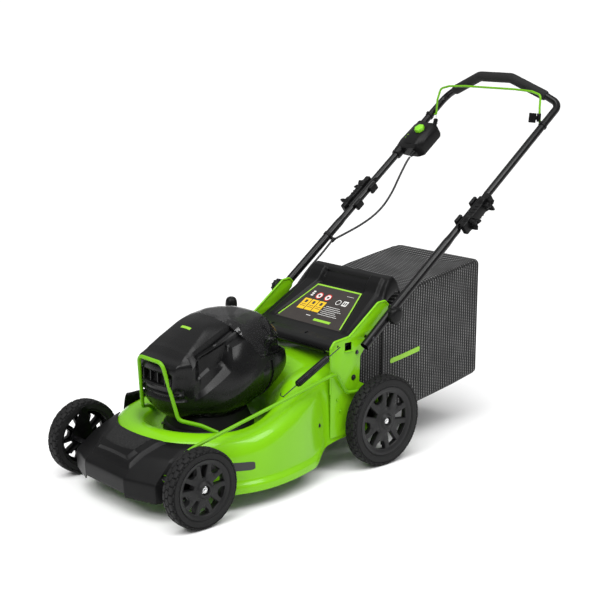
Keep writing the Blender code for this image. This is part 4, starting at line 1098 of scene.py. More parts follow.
def hood_profile(tree, y):
    """Half a cross-section of the hood's middle, from its lower edge up to the centre line."""
    def across(z):
        spot = tree.ray_cast(Vector((0.4, y, z)), Vector((-1, 0, 0)))[0]
        return spot.x if spot is not None and spot.x > 0 else 0.0800

    def upward(x):
        spot = tree.ray_cast(Vector((x, y, 0.7)), Vector((0, 0, -1)))[0]
        return spot.z if spot is not None else 0.34

    grown = ramp(y + 0.5390, 0.018)
    seam, flank, step, shoulder = (height_at(line, y) for line in (SEAM, FLANK, STEP, SHOULDER))
    shoulder = min(shoulder, upward(0.088) - 0.001)
    flank = min(flank, shoulder - 0.012)
    room = shoulder - flank
    slope = min(0.0130, 0.30 * room)
    step = min(max(step, flank + slope + 0.001), shoulder - 0.006)
    lip = min(0.0060, 0.25 * (shoulder - step))
    edge = 0.0952 + 0.085 * min(max(y + 0.5327, -0.03), 0.08)
    edge += (across(shoulder) - edge) * (1.0 - grown)
    under = 0.0052 * grown * ramp(-0.315 - y, 0.02)

    def side(z, share):
        plain = across(z)
        floor = min(max(0.0900 + 0.115 * (y + 0.5327), plain - 0.0150), edge)
        return plain + ((floor - plain) * (1.0 - share) + 0.0030 * share) * grown

    rows = [(across(z) - under, z) for z in between(HOOD_FOOT, seam - 0.0010, 8)]
    rows += [(side(z, 1.0), z) for z in between(seam + 0.0012, flank, 12)]
    for low, high, before, after, count in (
            (flank, flank + slope, 1.0, 0.42, 3), (flank + slope, step, 0.42, 0.34, 6),
            (step, step + lip, 0.34, 0.0, 2), (step + lip, shoulder - 0.0030, 0.0, 0.0, 8)):
        ends = side(low, before), side(high, after)
        rows += [(ends[0] + (ends[1] - ends[0]) * k / count, low + (high - low) * k / count)
                 for k in range(1, count + 1)]
    inner = 0.0830 if edge > 0.0880 else edge - 0.005
    rise = 0.0045 * grown
    groove = 0.0045 * ramp(y + 0.4785, 0.02)
    panel = upward(inner)
    crest = max(min(upward(min(edge, 0.10)) - 0.003, panel), shoulder) if y > -0.53 else panel
    for share, drop in ((0.0, 0.0), (0.22, 0.0), (0.34, 1.0), (0.62, 1.0), (0.74, 0.0),
                        (0.95, 0.0)):
        top = min(shoulder + (panel - shoulder) * share + rise * (1 - share), crest + rise)
        rows.append((edge + (inner - edge) * share, top - groove * drop))
    rows += [(x, upward(x) + 0.0016 * grown) for x in between(inner - 0.0015, 0.0, 24)]
    return rows


def hood_body(fine):
    """The hood's outer skin: smooth ends, and a middle whose rows run along its edges."""
    ends = hood_form(*fine)
    tree = BVHTree.FromBMesh(ends)
    ends.normal_update()
    moves = [vert.normal * (hood_detail(vert.co) * (vert.co.y < -0.5)
                            + 0.0030 * (vert.co.y > -0.32)) for vert in ends.verts]
    for vert, move in zip(ends.verts, moves):
        vert.co += move
    bmesh.ops.delete(ends, geom=[face for face in ends.faces
                                 if HOOD_FRONT < face.calc_center_median().y < HOOD_REAR],
                     context="FACES")
    lines = []
    for y in between(HOOD_FRONT - 0.0012, HOOD_REAR + 0.0012, 150):
        half = [(x, y, z) for x, z in hood_profile(tree, y)]
        lines.append(half + [(-x, y, z) for x, y, z in half[-2::-1]])
    rows = [[ends.verts.new(point) for point in line] for line in lines]
    for before, after in zip(rows, rows[1:]):
        for k in range(len(before) - 1):
            ends.faces.new((before[k], after[k], after[k + 1], before[k + 1]))
    ends.normal_update()
    return ends


def lid_relief(point, normal):
    """The lid stands level with the flank, and its rear corner tucks in over the body."""
    y, z = point.y, point.z
    side = ramp(height_at(SHOULDER, y) - z + 0.004, 0.008)
    rear = ramp(y + 0.320, 0.05) * ramp(0.382 - z, 0.022)
    return normal * (0.0012 + 0.0022 * side - 0.0150 * rear)


def hood_form(fine_round, fine_up):
    """The hood's smooth form, closed over the top."""
    halves = hood_columns(fine_round)
    columns = [flowing([half[k] for half in halves], fine_up) for k in range(len(halves[0]))]
    count = len(columns[0])
    loops = []
    for level in range(count):
        half = [column[level] for column in columns]
        loops.append(half + [Vector((-p.x, p.y, p.z)) for p in half[-2:0:-1]])
    last = loops[-1]
    centre = sum(last, Vector()) / len(last)
    for share in (0.85, 0.7, 0.55, 0.4, 0.25, 0.1):
        loops.append([(centre.x + (p.x - centre.x) * share, centre.y + (p.y - centre.y) * share,
                       p.z + HOOD_CROWN * (1 - share ** 2)) for p in last])
    return grid_shape(loops, True, cap_end=True)


def split_hood(shape, keep_lid):
    """Cuts the form along the lid's joint and keeps the lid or the rest."""
    for along in (LID_HINGE - LID_KNEE, Vector((0, LID_RUN, -LID_DROP))):
        normal = Vector((1.0, 0.0, 0.0)).cross(along).normalized()
        bmesh.ops.bisect_plane(shape, geom=shape.verts[:] + shape.edges[:] + shape.faces[:],
                               plane_co=LID_KNEE, plane_no=normal, dist=1e-6)
    slope = (LID_HINGE - LID_KNEE).normalized()
    behind = Vector((0, slope.z, -slope.y))
    doomed = []
    for face in shape.faces:
        centre = face.calc_center_median()
        in_lid = (centre - LID_KNEE).dot(behind) > 0 and \
            centre.z > LID_KNEE.z - (centre.y - LID_KNEE.y) * LID_DROP / LID_RUN
        if in_lid != keep_lid:
            doomed.append(face)
    bmesh.ops.delete(shape, geom=doomed, context="FACES")
    return shape


def embossed(shape, relief):
    """Moves each vertex by the relief, evened out twice over its neighbours."""
    shape.normal_update()
    shape.verts.ensure_lookup_table()
    moves = [relief(vert.co, vert.normal) for vert in shape.verts]
    near = [[edge.other_vert(vert).index for edge in vert.link_edges] for vert in shape.verts]
    for _ in range(2):
        moves = [(moves[k] * 2 + sum((moves[j] for j in near[k]), Vector()))
                 / (2 + len(near[k])) for k in range(len(moves))]
    for vert, move in zip(shape.verts, moves):
        vert.co += move
    return shape


def add_hood():
    fine = ((22, 14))
    hood = solid("hood_look", split_hood(hood_body(fine), False), HOOD_PLASTIC)
    hood = thick(hood, 0.0028, -1.0, even=False)
    tree = tree_of(hood)
    louvres = [block("fin", (x - 0.0018, -0.5930, 0.3000), (x + 0.0018, -0.5700, 0.3300),
                     HOOD_PLASTIC, 0.0006) for x in (-0.046, -0.0155, 0.0155, 0.046)]
    louvres.append(block("latch", (0.0540, -0.5935, 0.3000), (0.0690, -0.5720, 0.3210),
                         HOOD_PLASTIC, 0.0020))
    hood = joined(hood, *louvres)
    place(hood, "chassis", "black_plastic", "motor_hood", angle=24)
    # A darker sheet draped over the backs of the front intakes: painted shade in the vents
    vent = [[(x, -0.70, z) for z in between(0.3030, 0.3270, 6)]
            for x in between(-0.068, 0.068, 24)]
    dark = draped("hood_vent_painted_shade", tree, vent, (0, 1, 0), 0.0006, PAINTED_SHADE_PLASTIC)
    place(dark, "chassis", "black_plastic")
    badge = [[(x, y, 0.60) for y in between(-0.492, -0.4855, 4)]
             for x in between(-0.020, 0.020, 16)]
    mark = draped("hood_mark", tree, badge, (0, 0, -1), 0.0004, LIME_INK)
    place(mark, "chassis", "lime_plastic")

    lid_shape = embossed(hood_form(*fine), lid_relief)
    lid = solid("lid_look", split_hood(lid_shape, True), SMOKED)
    lid = thick(lid, 0.0024, -1.0)
    place(lid, "battery_lid", "smoked_plastic", "battery_lid", angle=28)
    frame_shape = split_hood(hood_form(*fine), True)
    edges = [e for e in frame_shape.edges if e.is_boundary]
    keep = {f for e in edges for v in e.verts for f in v.link_faces}
    grow = {f for face in keep for e in face.edges for f in e.link_faces}
    bmesh.ops.delete(frame_shape, geom=[f for f in frame_shape.faces if f not in grow],
                     context="FACES")
    rimmed = solid("lid_rim", frame_shape, HOOD_PLASTIC)
    rimmed.data.transform(Matrix.Translation((0, 0, -0.0006)))
    for vert in rimmed.data.vertices:
        centre = Vector((0, -0.34, 0.36))
        vert.co = centre + (vert.co - centre) * 0.978
    rimmed = thick(rimmed, 0.0016, -1.0)
    place(rimmed, "battery_lid", "black_plastic")


def add_battery():
    body = block("battery_look", (-0.040, -0.390, 0.275), (0.040, -0.275, 0.398), HOOD_PLASTIC,
                 0.010, 4)
    ribs = [block("rib", (-0.0412, -0.380 + 0.016 * k, 0.286), (0.0412, -0.374 + 0.016 * k, 0.372),
                  HOOD_PLASTIC, 0.0012) for k in range(7)]
    arch = pipe("arch", rounded([(-0.026, -0.332, 0.392), (-0.026, -0.332, 0.4155),
                                 (0.026, -0.332, 0.4155), (0.026, -0.332, 0.392)], 0.012, 6),
                0.0050, HOOD_PLASTIC, 16)
    battery = joined(body, *ribs, arch)
    place(battery, "chassis", "black_plastic", "battery", angle=35)
    gauge = block("battery_gauge", (-0.020, -0.3915, 0.362), (0.020, -0.3895, 0.376), RED_INK,
                  0.0008)
    place(gauge, "chassis", "black_plastic")
    button = block("battery_release", (-0.012, -0.372, 0.3975), (0.012, -0.356, 0.4015), RED_INK,
                   0.0015)
    place(button, "chassis", "black_plastic")
    outline = []
    for k in range(40):
        angle = math.tau * k / 40
        outline.append((0.104 * math.copysign(abs(math.cos(angle)) ** 0.6, math.cos(angle)),
                        -0.322 + 0.072 * math.copysign(abs(math.sin(angle)) ** 0.6,
                                                       math.sin(angle))))
    hole = [(-0.0425, -0.393), (0.0425, -0.393), (0.0425, -0.272), (-0.0425, -0.272)]
    # The bay floor round the battery is the darker black: painted shade under the lid
    tray = prism("battery_bay", outline, 0.3300, 0.3335, PAINTED_SHADE_PLASTIC, "Z", [hole[::-1]], 0.0008)
    walls = []
    for low, high in (((-0.0465, -0.397, 0.300), (-0.0425, -0.268, 0.352)),
                      ((0.0425, -0.397, 0.300), (0.0465, -0.268, 0.352)),
                      ((-0.0425, -0.272, 0.300), (0.0425, -0.268, 0.352)),
                      ((-0.0425, -0.397, 0.300), (0.0425, -0.393, 0.352))):
        walls.append(block("wall", low, high, HOOD_PLASTIC, 0.001))
    place(joined(tray, *walls), "chassis", "black_plastic")


def add_motor():
    base = lathe("motor_base_look", [(0.075, 0.2015), (0.098, 0.2015), (0.1010, 0.1995),
                                     (0.1125, 0.172), (0.1140, 0.1680), (0.1175, 0.1660),
                                     (0.1210, 0.1600), (0.1225, 0.1485), (0.075, 0.1485)],
                 BLACK_PLASTIC, (0, DECK_Y, 0), steps=96)
    feet = []
    for k in range(8):
        angle = math.tau * (k + 0.5) / 8
        rib = block("rib", (0.110, -0.003, 0.1495), (0.1225, 0.003, 0.1640), BLACK_PLASTIC, 0.0012)
        rib.data.transform(Matrix.Translation((0, DECK_Y, 0)) @ Matrix.Rotation(angle, 4, "Z"))
        feet.append(rib)
        head = bolt_head("screw", (0.1235 * math.cos(angle + 0.39),
                                   DECK_Y + 0.1235 * math.sin(angle + 0.39), 0.1480), 0.0038,
                         0.0045, DARK_STEEL, (0, 0, 1))
        feet.append(head)
    place(joined(base, *feet), "chassis", "black_plastic", "motor_base", angle=30)


# Handle

TUBE_RADIUS = 0.0111
LOWER_X = 0.2215
UPPER_X = 0.2265
LAP_X = 0.2224
SLOPE = math.atan(0.752)
LOWER_BOLT = Vector((0.0, 0.328, 0.6399))
BOLT_SPACING = 0.0751
LAP_OVERHANG = 0.020
FORWARD = Vector((0.0, math.cos(SLOPE), math.sin(SLOPE)))
UPWARD = Vector((0.0, -math.sin(SLOPE), math.cos(SLOPE)))
FOLD_PIVOT = (-0.035, 0.3628)
LOCK_POINT = (0.034, 0.4175)


def on_handle(distance, rise=0.0, x=0.0):
    return Vector((x, 0, 0)) + LOWER_BOLT + FORWARD * distance + UPWARD * rise


def to_handle(obj, x=0.0):
    """Moves a piece built at the origin, +Y along the tube and +Z away from it, onto the tube."""
    obj.data.transform(Matrix.Translation(on_handle(0.0, 0.0, x)) @ Matrix.Rotation(
        SLOPE, 4, "X"))
    return obj


def upper_path(steps=8):
    foot = on_handle(-LAP_OVERHANG, 0.0, UPPER_X)
    corner = on_handle(0.5110, 0.0, UPPER_X)
    half = [tuple(foot), tuple(corner), (0.182, 0.7285, 0.9695), (0.062, 0.7085, 1.019)]
    return rounded(half + mirrored(half[::-1]), 0.036, steps)


def dense(path, step):
    made = [Vector(path[0])]
    for a, b in zip(path, path[1:]):
        a, b = Vector(a), Vector(b)
        count = max(1, int((b - a).length / step))
        made += [a.lerp(b, k / count) for k in range(1, count + 1)]
    return made


def add_tubes():
    top = on_handle(BOLT_SPACING + LAP_OVERHANG)
    knee = on_handle(-0.2503)
    for side, word in SIDES:
        x = side * LOWER_X
        path = rounded([(x, -0.060, 0.343), (x, 0.070, 0.446), (x, knee.y, knee.z),
                        (x, top.y, top.z)], 0.06, 8)
        fine = dense(path, 0.006)
        whole = sum((b - a).length for a, b in zip(fine, fine[1:]))

        def tube_size(share):
            return TUBE_RADIUS + 0.0016 * ramp(whole * (1 - share) - 0.160, 0.020)

        tube = pipe("lower_tube_look_" + word, fine, tube_size, BLACK_PAINT, 28)
        for vert in tube.data.vertices:
            along = (vert.co - on_handle(0.0)).dot(FORWARD)
            share = step_between(0.0, 1.0, (along + 0.034) / 0.012)
            limit = LAP_X - 0.0002
            if side * vert.co.x > limit:
                vert.co.x = side * (side * vert.co.x + (limit - side * vert.co.x) * share)
        shape = bmesh.new()
        shape.from_mesh(tube.data)
        ends = [f for f in shape.faces if len(f.verts) > 8]
        bmesh.ops.inset_region(shape, faces=ends, thickness=0.0016, use_even_offset=True)
        bmesh.ops.translate(shape, vec=Vector((0, 0.012, 0.009)),
                            verts=[v for f in ends for v in f.verts
                                   if f.calc_center_median().y < 0])
        shape.to_mesh(tube.data)
        shape.free()
        place(tube, "lower_handle", "black_paint", "lower_tube_" + word, angle=40)
    tube = pipe("upper_tube_look", dense(upper_path(10), 0.006), TUBE_RADIUS, BLACK_PAINT, 28)
    for vert in tube.data.vertices:
        along = (vert.co - on_handle(0.0)).dot(FORWARD)
        share = step_between(1.0, 0.0, (along - 0.100) / 0.012)
        limit = LAP_X + 0.0004
        side = math.copysign(1, vert.co.x)
        if abs(vert.co.x) > 0.19 and side * vert.co.x < limit:
            vert.co.x = side * (side * vert.co.x + (limit - side * vert.co.x) * share)
    place(tube, "upper_handle", "black_paint", "upper_tube", angle=40)
    path = upper_path(10)
    inner = [p for p in path if abs(p.x) <= 0.1835]
    first = next(k for k, p in enumerate(path) if p.x < 0.1835)
    grip_path = dense(path[first:first + len(inner)], 0.004)
    total = len(grip_path) - 1

    def thickness(share):
        edge = min(share, 1 - share) * total * 0.004
        return 0.0113 + 0.0042 * step_between(0.3, 1.0, edge / 0.005)

    grip = pipe("grip_look", grip_path, thickness, FOAM, 32)
    place(grip, "upper_handle", "foam", "foam_grip", angle=40)
    for side, word in SIDES:
        clip = lathe("tube_ring_" + word, [(0.0113, -0.004), (0.0125, -0.004), (0.0133, -0.003),
                                           (0.0133, 0.003), (0.0125, 0.004), (0.0113, 0.004)],
                     BLACK_PLASTIC, steps=40)
        at = on_handle(0.4140, 0.0, side * UPPER_X)
        clip.data.transform(Matrix.Translation(at) @ facing(FORWARD))
        tab = block("tab", (-0.004, -0.004, 0.010), (0.004, 0.004, 0.0165), BLACK_PLASTIC, 0.001)
        tab.data.transform(Matrix.Translation(at) @ Matrix.Rotation(SLOPE, 4, "X"))
        place(joined(clip, tab), "upper_handle", "black_plastic")


def trefoil(mean, lobe, steps=72, power=1.0):
    outline = []
    for k in range(steps):
        angle = math.tau * k / steps
        wave = math.cos(3 * angle)
        reach = mean + lobe * math.copysign(abs(wave) ** power, wave)
        outline.append((reach * math.cos(angle), reach * math.sin(angle)))
    return outline


def add_clamps():
    for side, word in SIDES:
        across = sorted((side * 0.2345, side * 0.2525))
        parts = []
        body = block("clamp_look_" + word, (across[0], -0.032, -0.0165),
                     (across[1], BOLT_SPACING + 0.032, 0.0165), BLACK_PLASTIC, 0.0035)
        parts.append(body)
        for at in (0.0, BOLT_SPACING):
            drum = lathe("drum", [(0.0, 0.0), (0.0190, 0.0), (0.0200, 0.001), (0.0200, 0.0155),
                                  (0.0185, 0.0175), (0.0, 0.0178)], BLACK_PLASTIC,
                         (side * 0.2352, at, 0.0), (0, side * math.pi / 2, 0), 40)
            parts.append(drum)
            parts.append(block("pad", (side * 0.199, at - 0.015, -0.0125),
                               (side * 0.2102, at + 0.015, 0.0125), BLACK_PLASTIC, 0.003))
            for height in (-0.0178, 0.0138):
                parts.append(block("rail", (side * 0.2335, at - 0.013, height),
                                   (side * 0.250, at + 0.013, height + 0.004), BLACK_PLASTIC,
                                   0.0012))
        for k in range(3):
            y = BOLT_SPACING / 2 - 0.012 + 0.012 * k
            parts.append(block("rib", (across[0] + 0.001, y - 0.002, -0.0180),
                               (across[1] - 0.001, y + 0.002, 0.0180), BLACK_PLASTIC, 0.001))
        clamp = to_handle(joined(*parts))
        place(clamp, "upper_handle", "black_plastic", "clamp_" + word, angle=35)
        for upper, level in ((False, "lower"), (True, "upper")):
            at = on_handle(BOLT_SPACING if upper else 0.0)
            name = f"wing_knob_{word}_{level}"
            knob = prism(name + "_look", trefoil(0.0125, 0.0058, 72, 0.8), 0.2550, 0.2690,
                         BLACK_PLASTIC, "X", (), 0.0018, 3)
            stem = lathe("stem", [(0.0, 0.0625), (0.0075, 0.0622), (0.0088, 0.0605),
                                  (0.0092, 0.0530), (0.0060, 0.0526), (0.0050, 0.0526),
                                  (0.0044, 0.0500), (0.0044, 0.0100), (0.0072, 0.0098),
                                  (0.0072, 0.0058), (0.0, 0.0046)], BLACK_PLASTIC,
                         (0.20, 0, 0), (0, math.pi / 2, 0), 32)
            wings = []
            for k in range(3):
                wing = block("wing", (0.2625, 0.0045, -0.0032), (0.2735, 0.0176, 0.0032),
                             BLACK_PLASTIC, 0.0016)
                wing.data.transform(Matrix.Rotation(math.tau * k / 3, 4, "X"))
                wings.append(wing)
            tip = bolt_head("tip", (0.2622, 0, 0), 0.0042, 0.0030, DARK_STEEL, (1, 0, 0), False)
            knob = joined(knob, stem, *wings, tip)
            turn = Matrix.Rotation(0.5 + (0.7 if upper else 0.0), 4, "X")
            mirror = Matrix.Diagonal((side, 1, 1, 1))
            knob.data.transform(Matrix.Translation((0, at.y, at.z)) @ mirror @ turn)
            if side < 0:
                knob.data.flip_normals()
            place(knob, name, "black_plastic", name, angle=32)


def add_fold_fittings():
    for side, word in SIDES:
        turn = (0.0, side * math.pi / 2, 0.0)
        bolt = lathe("pivot_bolt_look_" + word, [
            (0.0, 0.0362), (0.0035, 0.0361), (0.0060, 0.0352), (0.0068, 0.0340), (0.0068, 0.0331),
            (0.0040, 0.0331), (0.0040, -0.0035), (0.0, -0.0035)], DARK_STEEL,
            (side * 0.20, *FOLD_PIVOT), turn, 32)
        place(bolt, "chassis", "steel", "pivot_bolt_" + word, angle=35)
        knob = lathe("lock_knob_look_" + word, [
            (0.0, 0.0555), (0.0120, 0.0553), (0.0175, 0.0540), (0.0215, 0.0505), (0.0232, 0.0450),
            (0.0236, 0.0400), (0.0225, 0.0365), (0.0190, 0.0333), (0.0040, 0.0331),
            (0.0040, 0.0068), (0.0, 0.0068)], BLACK_PLASTIC, (side * 0.20, *LOCK_POINT), turn, 72)
        grips = []
        for k in range(12):
            angle = math.tau * k / 12
            grips.append(pipe("flute", [
                (side * (0.20 + out), LOCK_POINT[0] + reach * math.cos(angle),
                 LOCK_POINT[1] + reach * math.sin(angle))
                for out, reach in ((0.0375, 0.0232), (0.0500, 0.0222))], 0.0022, BLACK_PLASTIC, 10))
        place(joined(knob, *grips), "lock_knob_" + word, "black_plastic", "lock_knob_" + word,
              angle=35)


BAIL_PIVOT = (0.669, 0.895)


def add_bail():
    y, z = BAIL_PIVOT
    half = [(0.2135, y, z), (0.2070, y, z), (0.2045, y + 0.001, z + 0.045),
            (0.1990, 0.679, 0.9760), (0.1650, 0.681, 0.9850), (0.1000, 0.683, 0.9880)]
    path = rounded(half + mirrored(half[::-1]), 0.014, 6)

    def size(share):
        bead = min(abs(share - 0.075), abs(share - 0.925))
        return 0.0033 + 0.0010 * step_between(1.0, 0.0, bead / 0.008)

    wire = pipe("bail_look", path, size, LIME_DEEP, 18)
    place(wire, "bail", "lime_paint", "bail", angle=40)
    blade = prism("bail_paddle_look", [(y - 0.0200, z + 0.0020), (y - 0.0150, z + 0.0010),
                                       (y - 0.0105, z + 0.0290), (y - 0.0165, z + 0.0300)],
                  0.1800, 0.2040, BLACK_PLASTIC, "X", (), 0.0012)
    boss = pipe("boss", [(0.2035, y, z + 0.004), (0.2035, y + 0.0005, z + 0.028)], 0.0062,
                BLACK_PLASTIC, 20)
    web = block("web", (0.2000, y - 0.014, z + 0.010), (0.2050, y + 0.001, z + 0.022),
                BLACK_PLASTIC, 0.0015)
    place(joined(blade, boss, web), "bail", "black_plastic", "bail_paddle", angle=35)
    nub = on_handle(0.373, 0.032, -0.150)
    wire = pipe("bail_wire", [nub, (-0.2068, y - 0.0005, z)], 0.0008, STEEL, 10)
    place(wire, "upper_handle", "steel")


BUTTON = (-0.176, 0.316)


def add_control_box():
    low, high = 0.248, 0.366
    outline = [(low, -0.020), (high - 0.006, -0.020), (high, -0.012), (high, 0.016),
               (high - 0.012, 0.028), (low + 0.030, 0.032), (low + 0.008, 0.026), (low, 0.014)]
    case = prism("control_box_look", outline, -0.2410, -0.1360, BLACK_PLASTIC, "X", (), 0.005, 3)
    shape = bmesh.new()
    shape.from_mesh(case.data)
    bmesh.ops.subdivide_edges(shape, edges=[e for e in shape.edges if abs(
        e.verts[0].co.x - e.verts[1].co.x) > 0.04], cuts=14, use_grid_fill=True)
    for vert in shape.verts:
        x, y, z = vert.co
        outer = min(max((-x - 0.200) / 0.041, 0.0), 1.0)
        inner = min(max((x + 0.160) / 0.024, 0.0), 1.0)
        if z > 0.0:
            z -= 0.016 * outer ** 1.4 * min(1.0, z / 0.03) + 0.010 * inner ** 1.3 * min(
                1.0, z / 0.03)
        if outer > 0 and z < 0:
            z += 0.006 * outer
        if inner > 0.0:
            y += (0.016 * inner ** 1.5) * (1 if y < (low + high) / 2 else -1)
        vert.co = (x, y, z)
    shape.to_mesh(case.data)
    shape.free()
    parts = [case]
    sleeve = lathe("sleeve", [(0.0114, -0.022), (0.0150, -0.022), (0.0160, -0.020),
                              (0.0162, -0.006), (0.0170, 0.0), (0.0170, 0.010), (0.0114, 0.010)],
                   BLACK_PLASTIC, steps=40)
    sleeve.data.transform(Matrix.Translation((-UPPER_X, low, 0)) @ Matrix.Rotation(
        -math.pi / 2, 4, "X"))
    parts.append(sleeve)
    collar = lathe("collar", [(0.0114, -0.010), (0.0165, -0.010), (0.0165, 0.004),
                              (0.0150, 0.008), (0.0114, 0.008)], BLACK_PLASTIC, steps=40)
    collar.data.transform(Matrix.Translation((-UPPER_X, high, 0)) @ Matrix.Rotation(
        -math.pi / 2, 4, "X"))
    parts.append(collar)
    gland = pipe("gland", [(-0.165, low + 0.004, 0), (-0.165, low - 0.004, 0),
                           (-0.165, low - 0.011, 0), (-0.165, low - 0.019, 0)],
                 lambda s: 0.0078 - 0.0030 * s, BLACK_PLASTIC, 24)
    rings = [pipe("ring", [(-0.165, low - 0.004 - 0.004 * k, 0),
                           (-0.165, low - 0.0062 - 0.004 * k, 0)], 0.0078 - 0.0008 * k,
                  BLACK_PLASTIC, 24) for k in range(3)]
    parts += [gland, *rings]
    nub = pipe("nub", [(-0.150, high - 0.020, 0.012), (-0.150, high + 0.001, 0.027),
                       (-0.150, high + 0.006, 0.031)], lambda s: 0.0066 - 0.001 * s,
               BLACK_PLASTIC, 20)
    ridge = [pipe("bead", [(-0.150, high - 0.006 + 0.004 * k, 0.0220 + 0.0029 * k),
                           (-0.150, high - 0.0045 + 0.004 * k, 0.0231 + 0.0029 * k)], 0.0078,
                  BLACK_PLASTIC, 20) for k in range(3)]
    parts += [nub, *ridge]
    plinth = prism("plinth", circle(BUTTON, 0.0225, 6), 0.020, 0.0312, BLACK_PLASTIC, "Z",
                   [circle(BUTTON, 0.0172, 6)], 0.0012)
    parts.append(plinth)
    # A darker bar for the slot: painted shade in the slot
    slot_bar = block("slot", (-0.198, low + 0.0075, 0.0255), (-0.172, low + 0.0105, 0.0285),
                     PAINTED_SHADE_PLASTIC, 0.0008)
    parts.append(slot_bar)
    for x, y in ((-0.228, low + 0.020), (-0.148, low + 0.018), (-0.228, high - 0.018),
                 (-0.148, high - 0.022)):
        parts.append(lathe("screw", [(0.0, 0.0165), (0.0028, 0.0165), (0.0034, 0.0155),
                                     (0.0034, 0.010), (0.0, 0.010)], DARK_STEEL, (x, y, 0),
                           steps=20))
    box = to_handle(joined(*parts))
    place(box, "upper_handle", "black_plastic", "control_box", angle=32)
    marks = []
    for x, y in ((-0.2070, 0.291), (-0.2070, 0.279)):
        marks.append(block("mark", (x - 0.0042, y - 0.0016, 0.0292),
                           (x + 0.0042, y + 0.0016, 0.0300), LIME_INK, 0.0003))
    marks = to_handle(joined(*marks))
    place(marks, "upper_handle", "lime_plastic")
    cap = to_handle(prism("start_button_look", circle(BUTTON, 0.0162, 6), 0.0270, 0.0418,
                          LIME_PLASTIC, "Z", (), 0.0016, 3))
    place(cap, "start_button", "lime_plastic", "start_button", angle=35)


# Cables

UPPER_CABLE = [
    (-0.165, 0.5065, 0.7740), (-0.165, 0.4930, 0.7600), (-0.166, 0.4740, 0.7330),
    (-0.168, 0.4570, 0.7050), (-0.171, 0.4360, 0.6700), (-0.175, 0.4050, 0.6330),
    (-0.180, 0.3650, 0.6030), (-0.186, 0.3150, 0.5790), (-0.193, 0.2600, 0.5590),
    (-0.199, 0.2230, 0.5460), (-0.2000, 0.2160, 0.5430),
]
LOWER_CABLE = [
    (-0.2000, 0.2160, 0.5430), (-0.2000, 0.2090, 0.5400), (-0.2000, 0.1700, 0.5080),
    (-0.1985, 0.1200, 0.4720), (-0.1950, 0.0800, 0.4400), (-0.1920, 0.0450, 0.4080),
    (-0.1920, 0.0050, 0.3700), (-0.1920, -0.0400, 0.3350), (-0.1900, -0.0900, 0.3160),
    (-0.1750, -0.1350, 0.3120), (-0.1500, -0.1650, 0.3180), (-0.1150, -0.1850, 0.3230),
    (-0.0700, -0.2000, 0.3200),
]
CABLE_WIDTH = 0.0066


def add_cables():
    for name, route, bodies, start, end, node in (
            ("cable_upper_look", UPPER_CABLE, ("upper_handle", "lower_handle"),
             (-0.17, 0.430, 0.660), (-0.19, 0.225, 0.546), "cable_upper"),
            ("cable_lower_look", LOWER_CABLE, ("lower_handle", "chassis"),
             (-0.195, 0.080, 0.440), (-0.190, -0.090, 0.316), "cable_lower")):
        path = flowing(route, 5)
        cable = pipe(name, path, CABLE_WIDTH / 2, CABLE, 16)
        smooth(cable, 40)
        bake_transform(cable)
        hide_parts(node)
    clip_at = on_handle(-0.142, 0.0, -LOWER_X)
    clip = lathe("cable_clip_look", [(0.0114, -0.0055), (0.0140, -0.0055), (0.0148, -0.0045),
                                     (0.0148, 0.0045), (0.0140, 0.0055), (0.0114, 0.0055)],
                 BLACK_PLASTIC, steps=40)
    clip.data.transform(Matrix.Translation(clip_at) @ facing(FORWARD))
    joint = Vector(LOWER_CABLE[0])
    arm = pipe("arm", [clip_at + Vector((0.010, 0.002, 0.004)), joint + Vector((-0.003, 0, 0))],
               0.0040, BLACK_PLASTIC, 16)
    across = Vector((0.0, 0.006, 0.0035))
    cuff = pipe("cuff", [joint + across, joint - across], 0.0052, BLACK_PLASTIC, 20)
    place(joined(clip, arm, cuff), "lower_handle", "black_plastic", "cable_clip", angle=35)


# Linkage, brackets, lever

# X of the rear crank's outer face, with its clearance
CRANK_FACE = 0.2005 + 0.0027 + 0.0003


def add_linkage():
    front_x = 0.2285 - 0.0003 - 0.0045
    rear_x = CRANK_FACE + 0.0046
    front_pin = (-0.6624, 0.1856)
    rear_pin = (-0.015, 0.211)
    path = [(front_x, *front_pin), (front_x, -0.632, 0.1945), (front_x, -0.186, 0.2855),
            (rear_x + 0.002, -0.150, 0.2790), (rear_x, -0.112, 0.2220), (rear_x, *rear_pin)]
    rod = pipe("link_rod_look", rounded(path, 0.018, 8), 0.0047, LIME_DEEP, 20)
    place(rod, "link_rod", "lime_paint", "link_rod", angle=40)
    x = 0.2085
    top, bottom = Vector((x, -0.137, 0.3525)), Vector((x, -0.336, 0.2570))
    along = (bottom - top).normalized()
    start, end = top + along * 0.046, bottom - along * 0.048
    side = Vector((1.0, 0.0, 0.0))
    other = along.cross(side).normalized()
    turns = 27
    path = [top, top + along * 0.012]
    for k in range(turns * 14 + 1):
        share = k / (turns * 14)
        angle = math.tau * turns * share
        reach = 0.0084 * min(1.0, share * 18, (1 - share) * 18)
        path.append(start + (end - start) * share + (side * math.cos(angle)
                                                     + other * math.sin(angle)) * reach)
    path += [bottom - along * 0.012, bottom]
    coil = pipe("spring_look", path, 0.00150, DARK_STEEL, 8)
    # A darker rod inside the coil: painted shade within the spring
    core = pipe("core", [start + along * 0.004, end - along * 0.004], 0.0074, PAINTED_SHADE_PLASTIC, 16)
    hook = pipe("hook", [bottom + Vector(move) for move in (
        (0.0, 0.002, -0.002), (-0.003, -0.003, 0.0), (-0.006, -0.006, 0.004),
        (-0.006, -0.003, 0.009))], 0.00125, DARK_STEEL, 8)
    place(joined(coil, core, hook), "chassis", "black_paint", "assist_spring", angle=60)


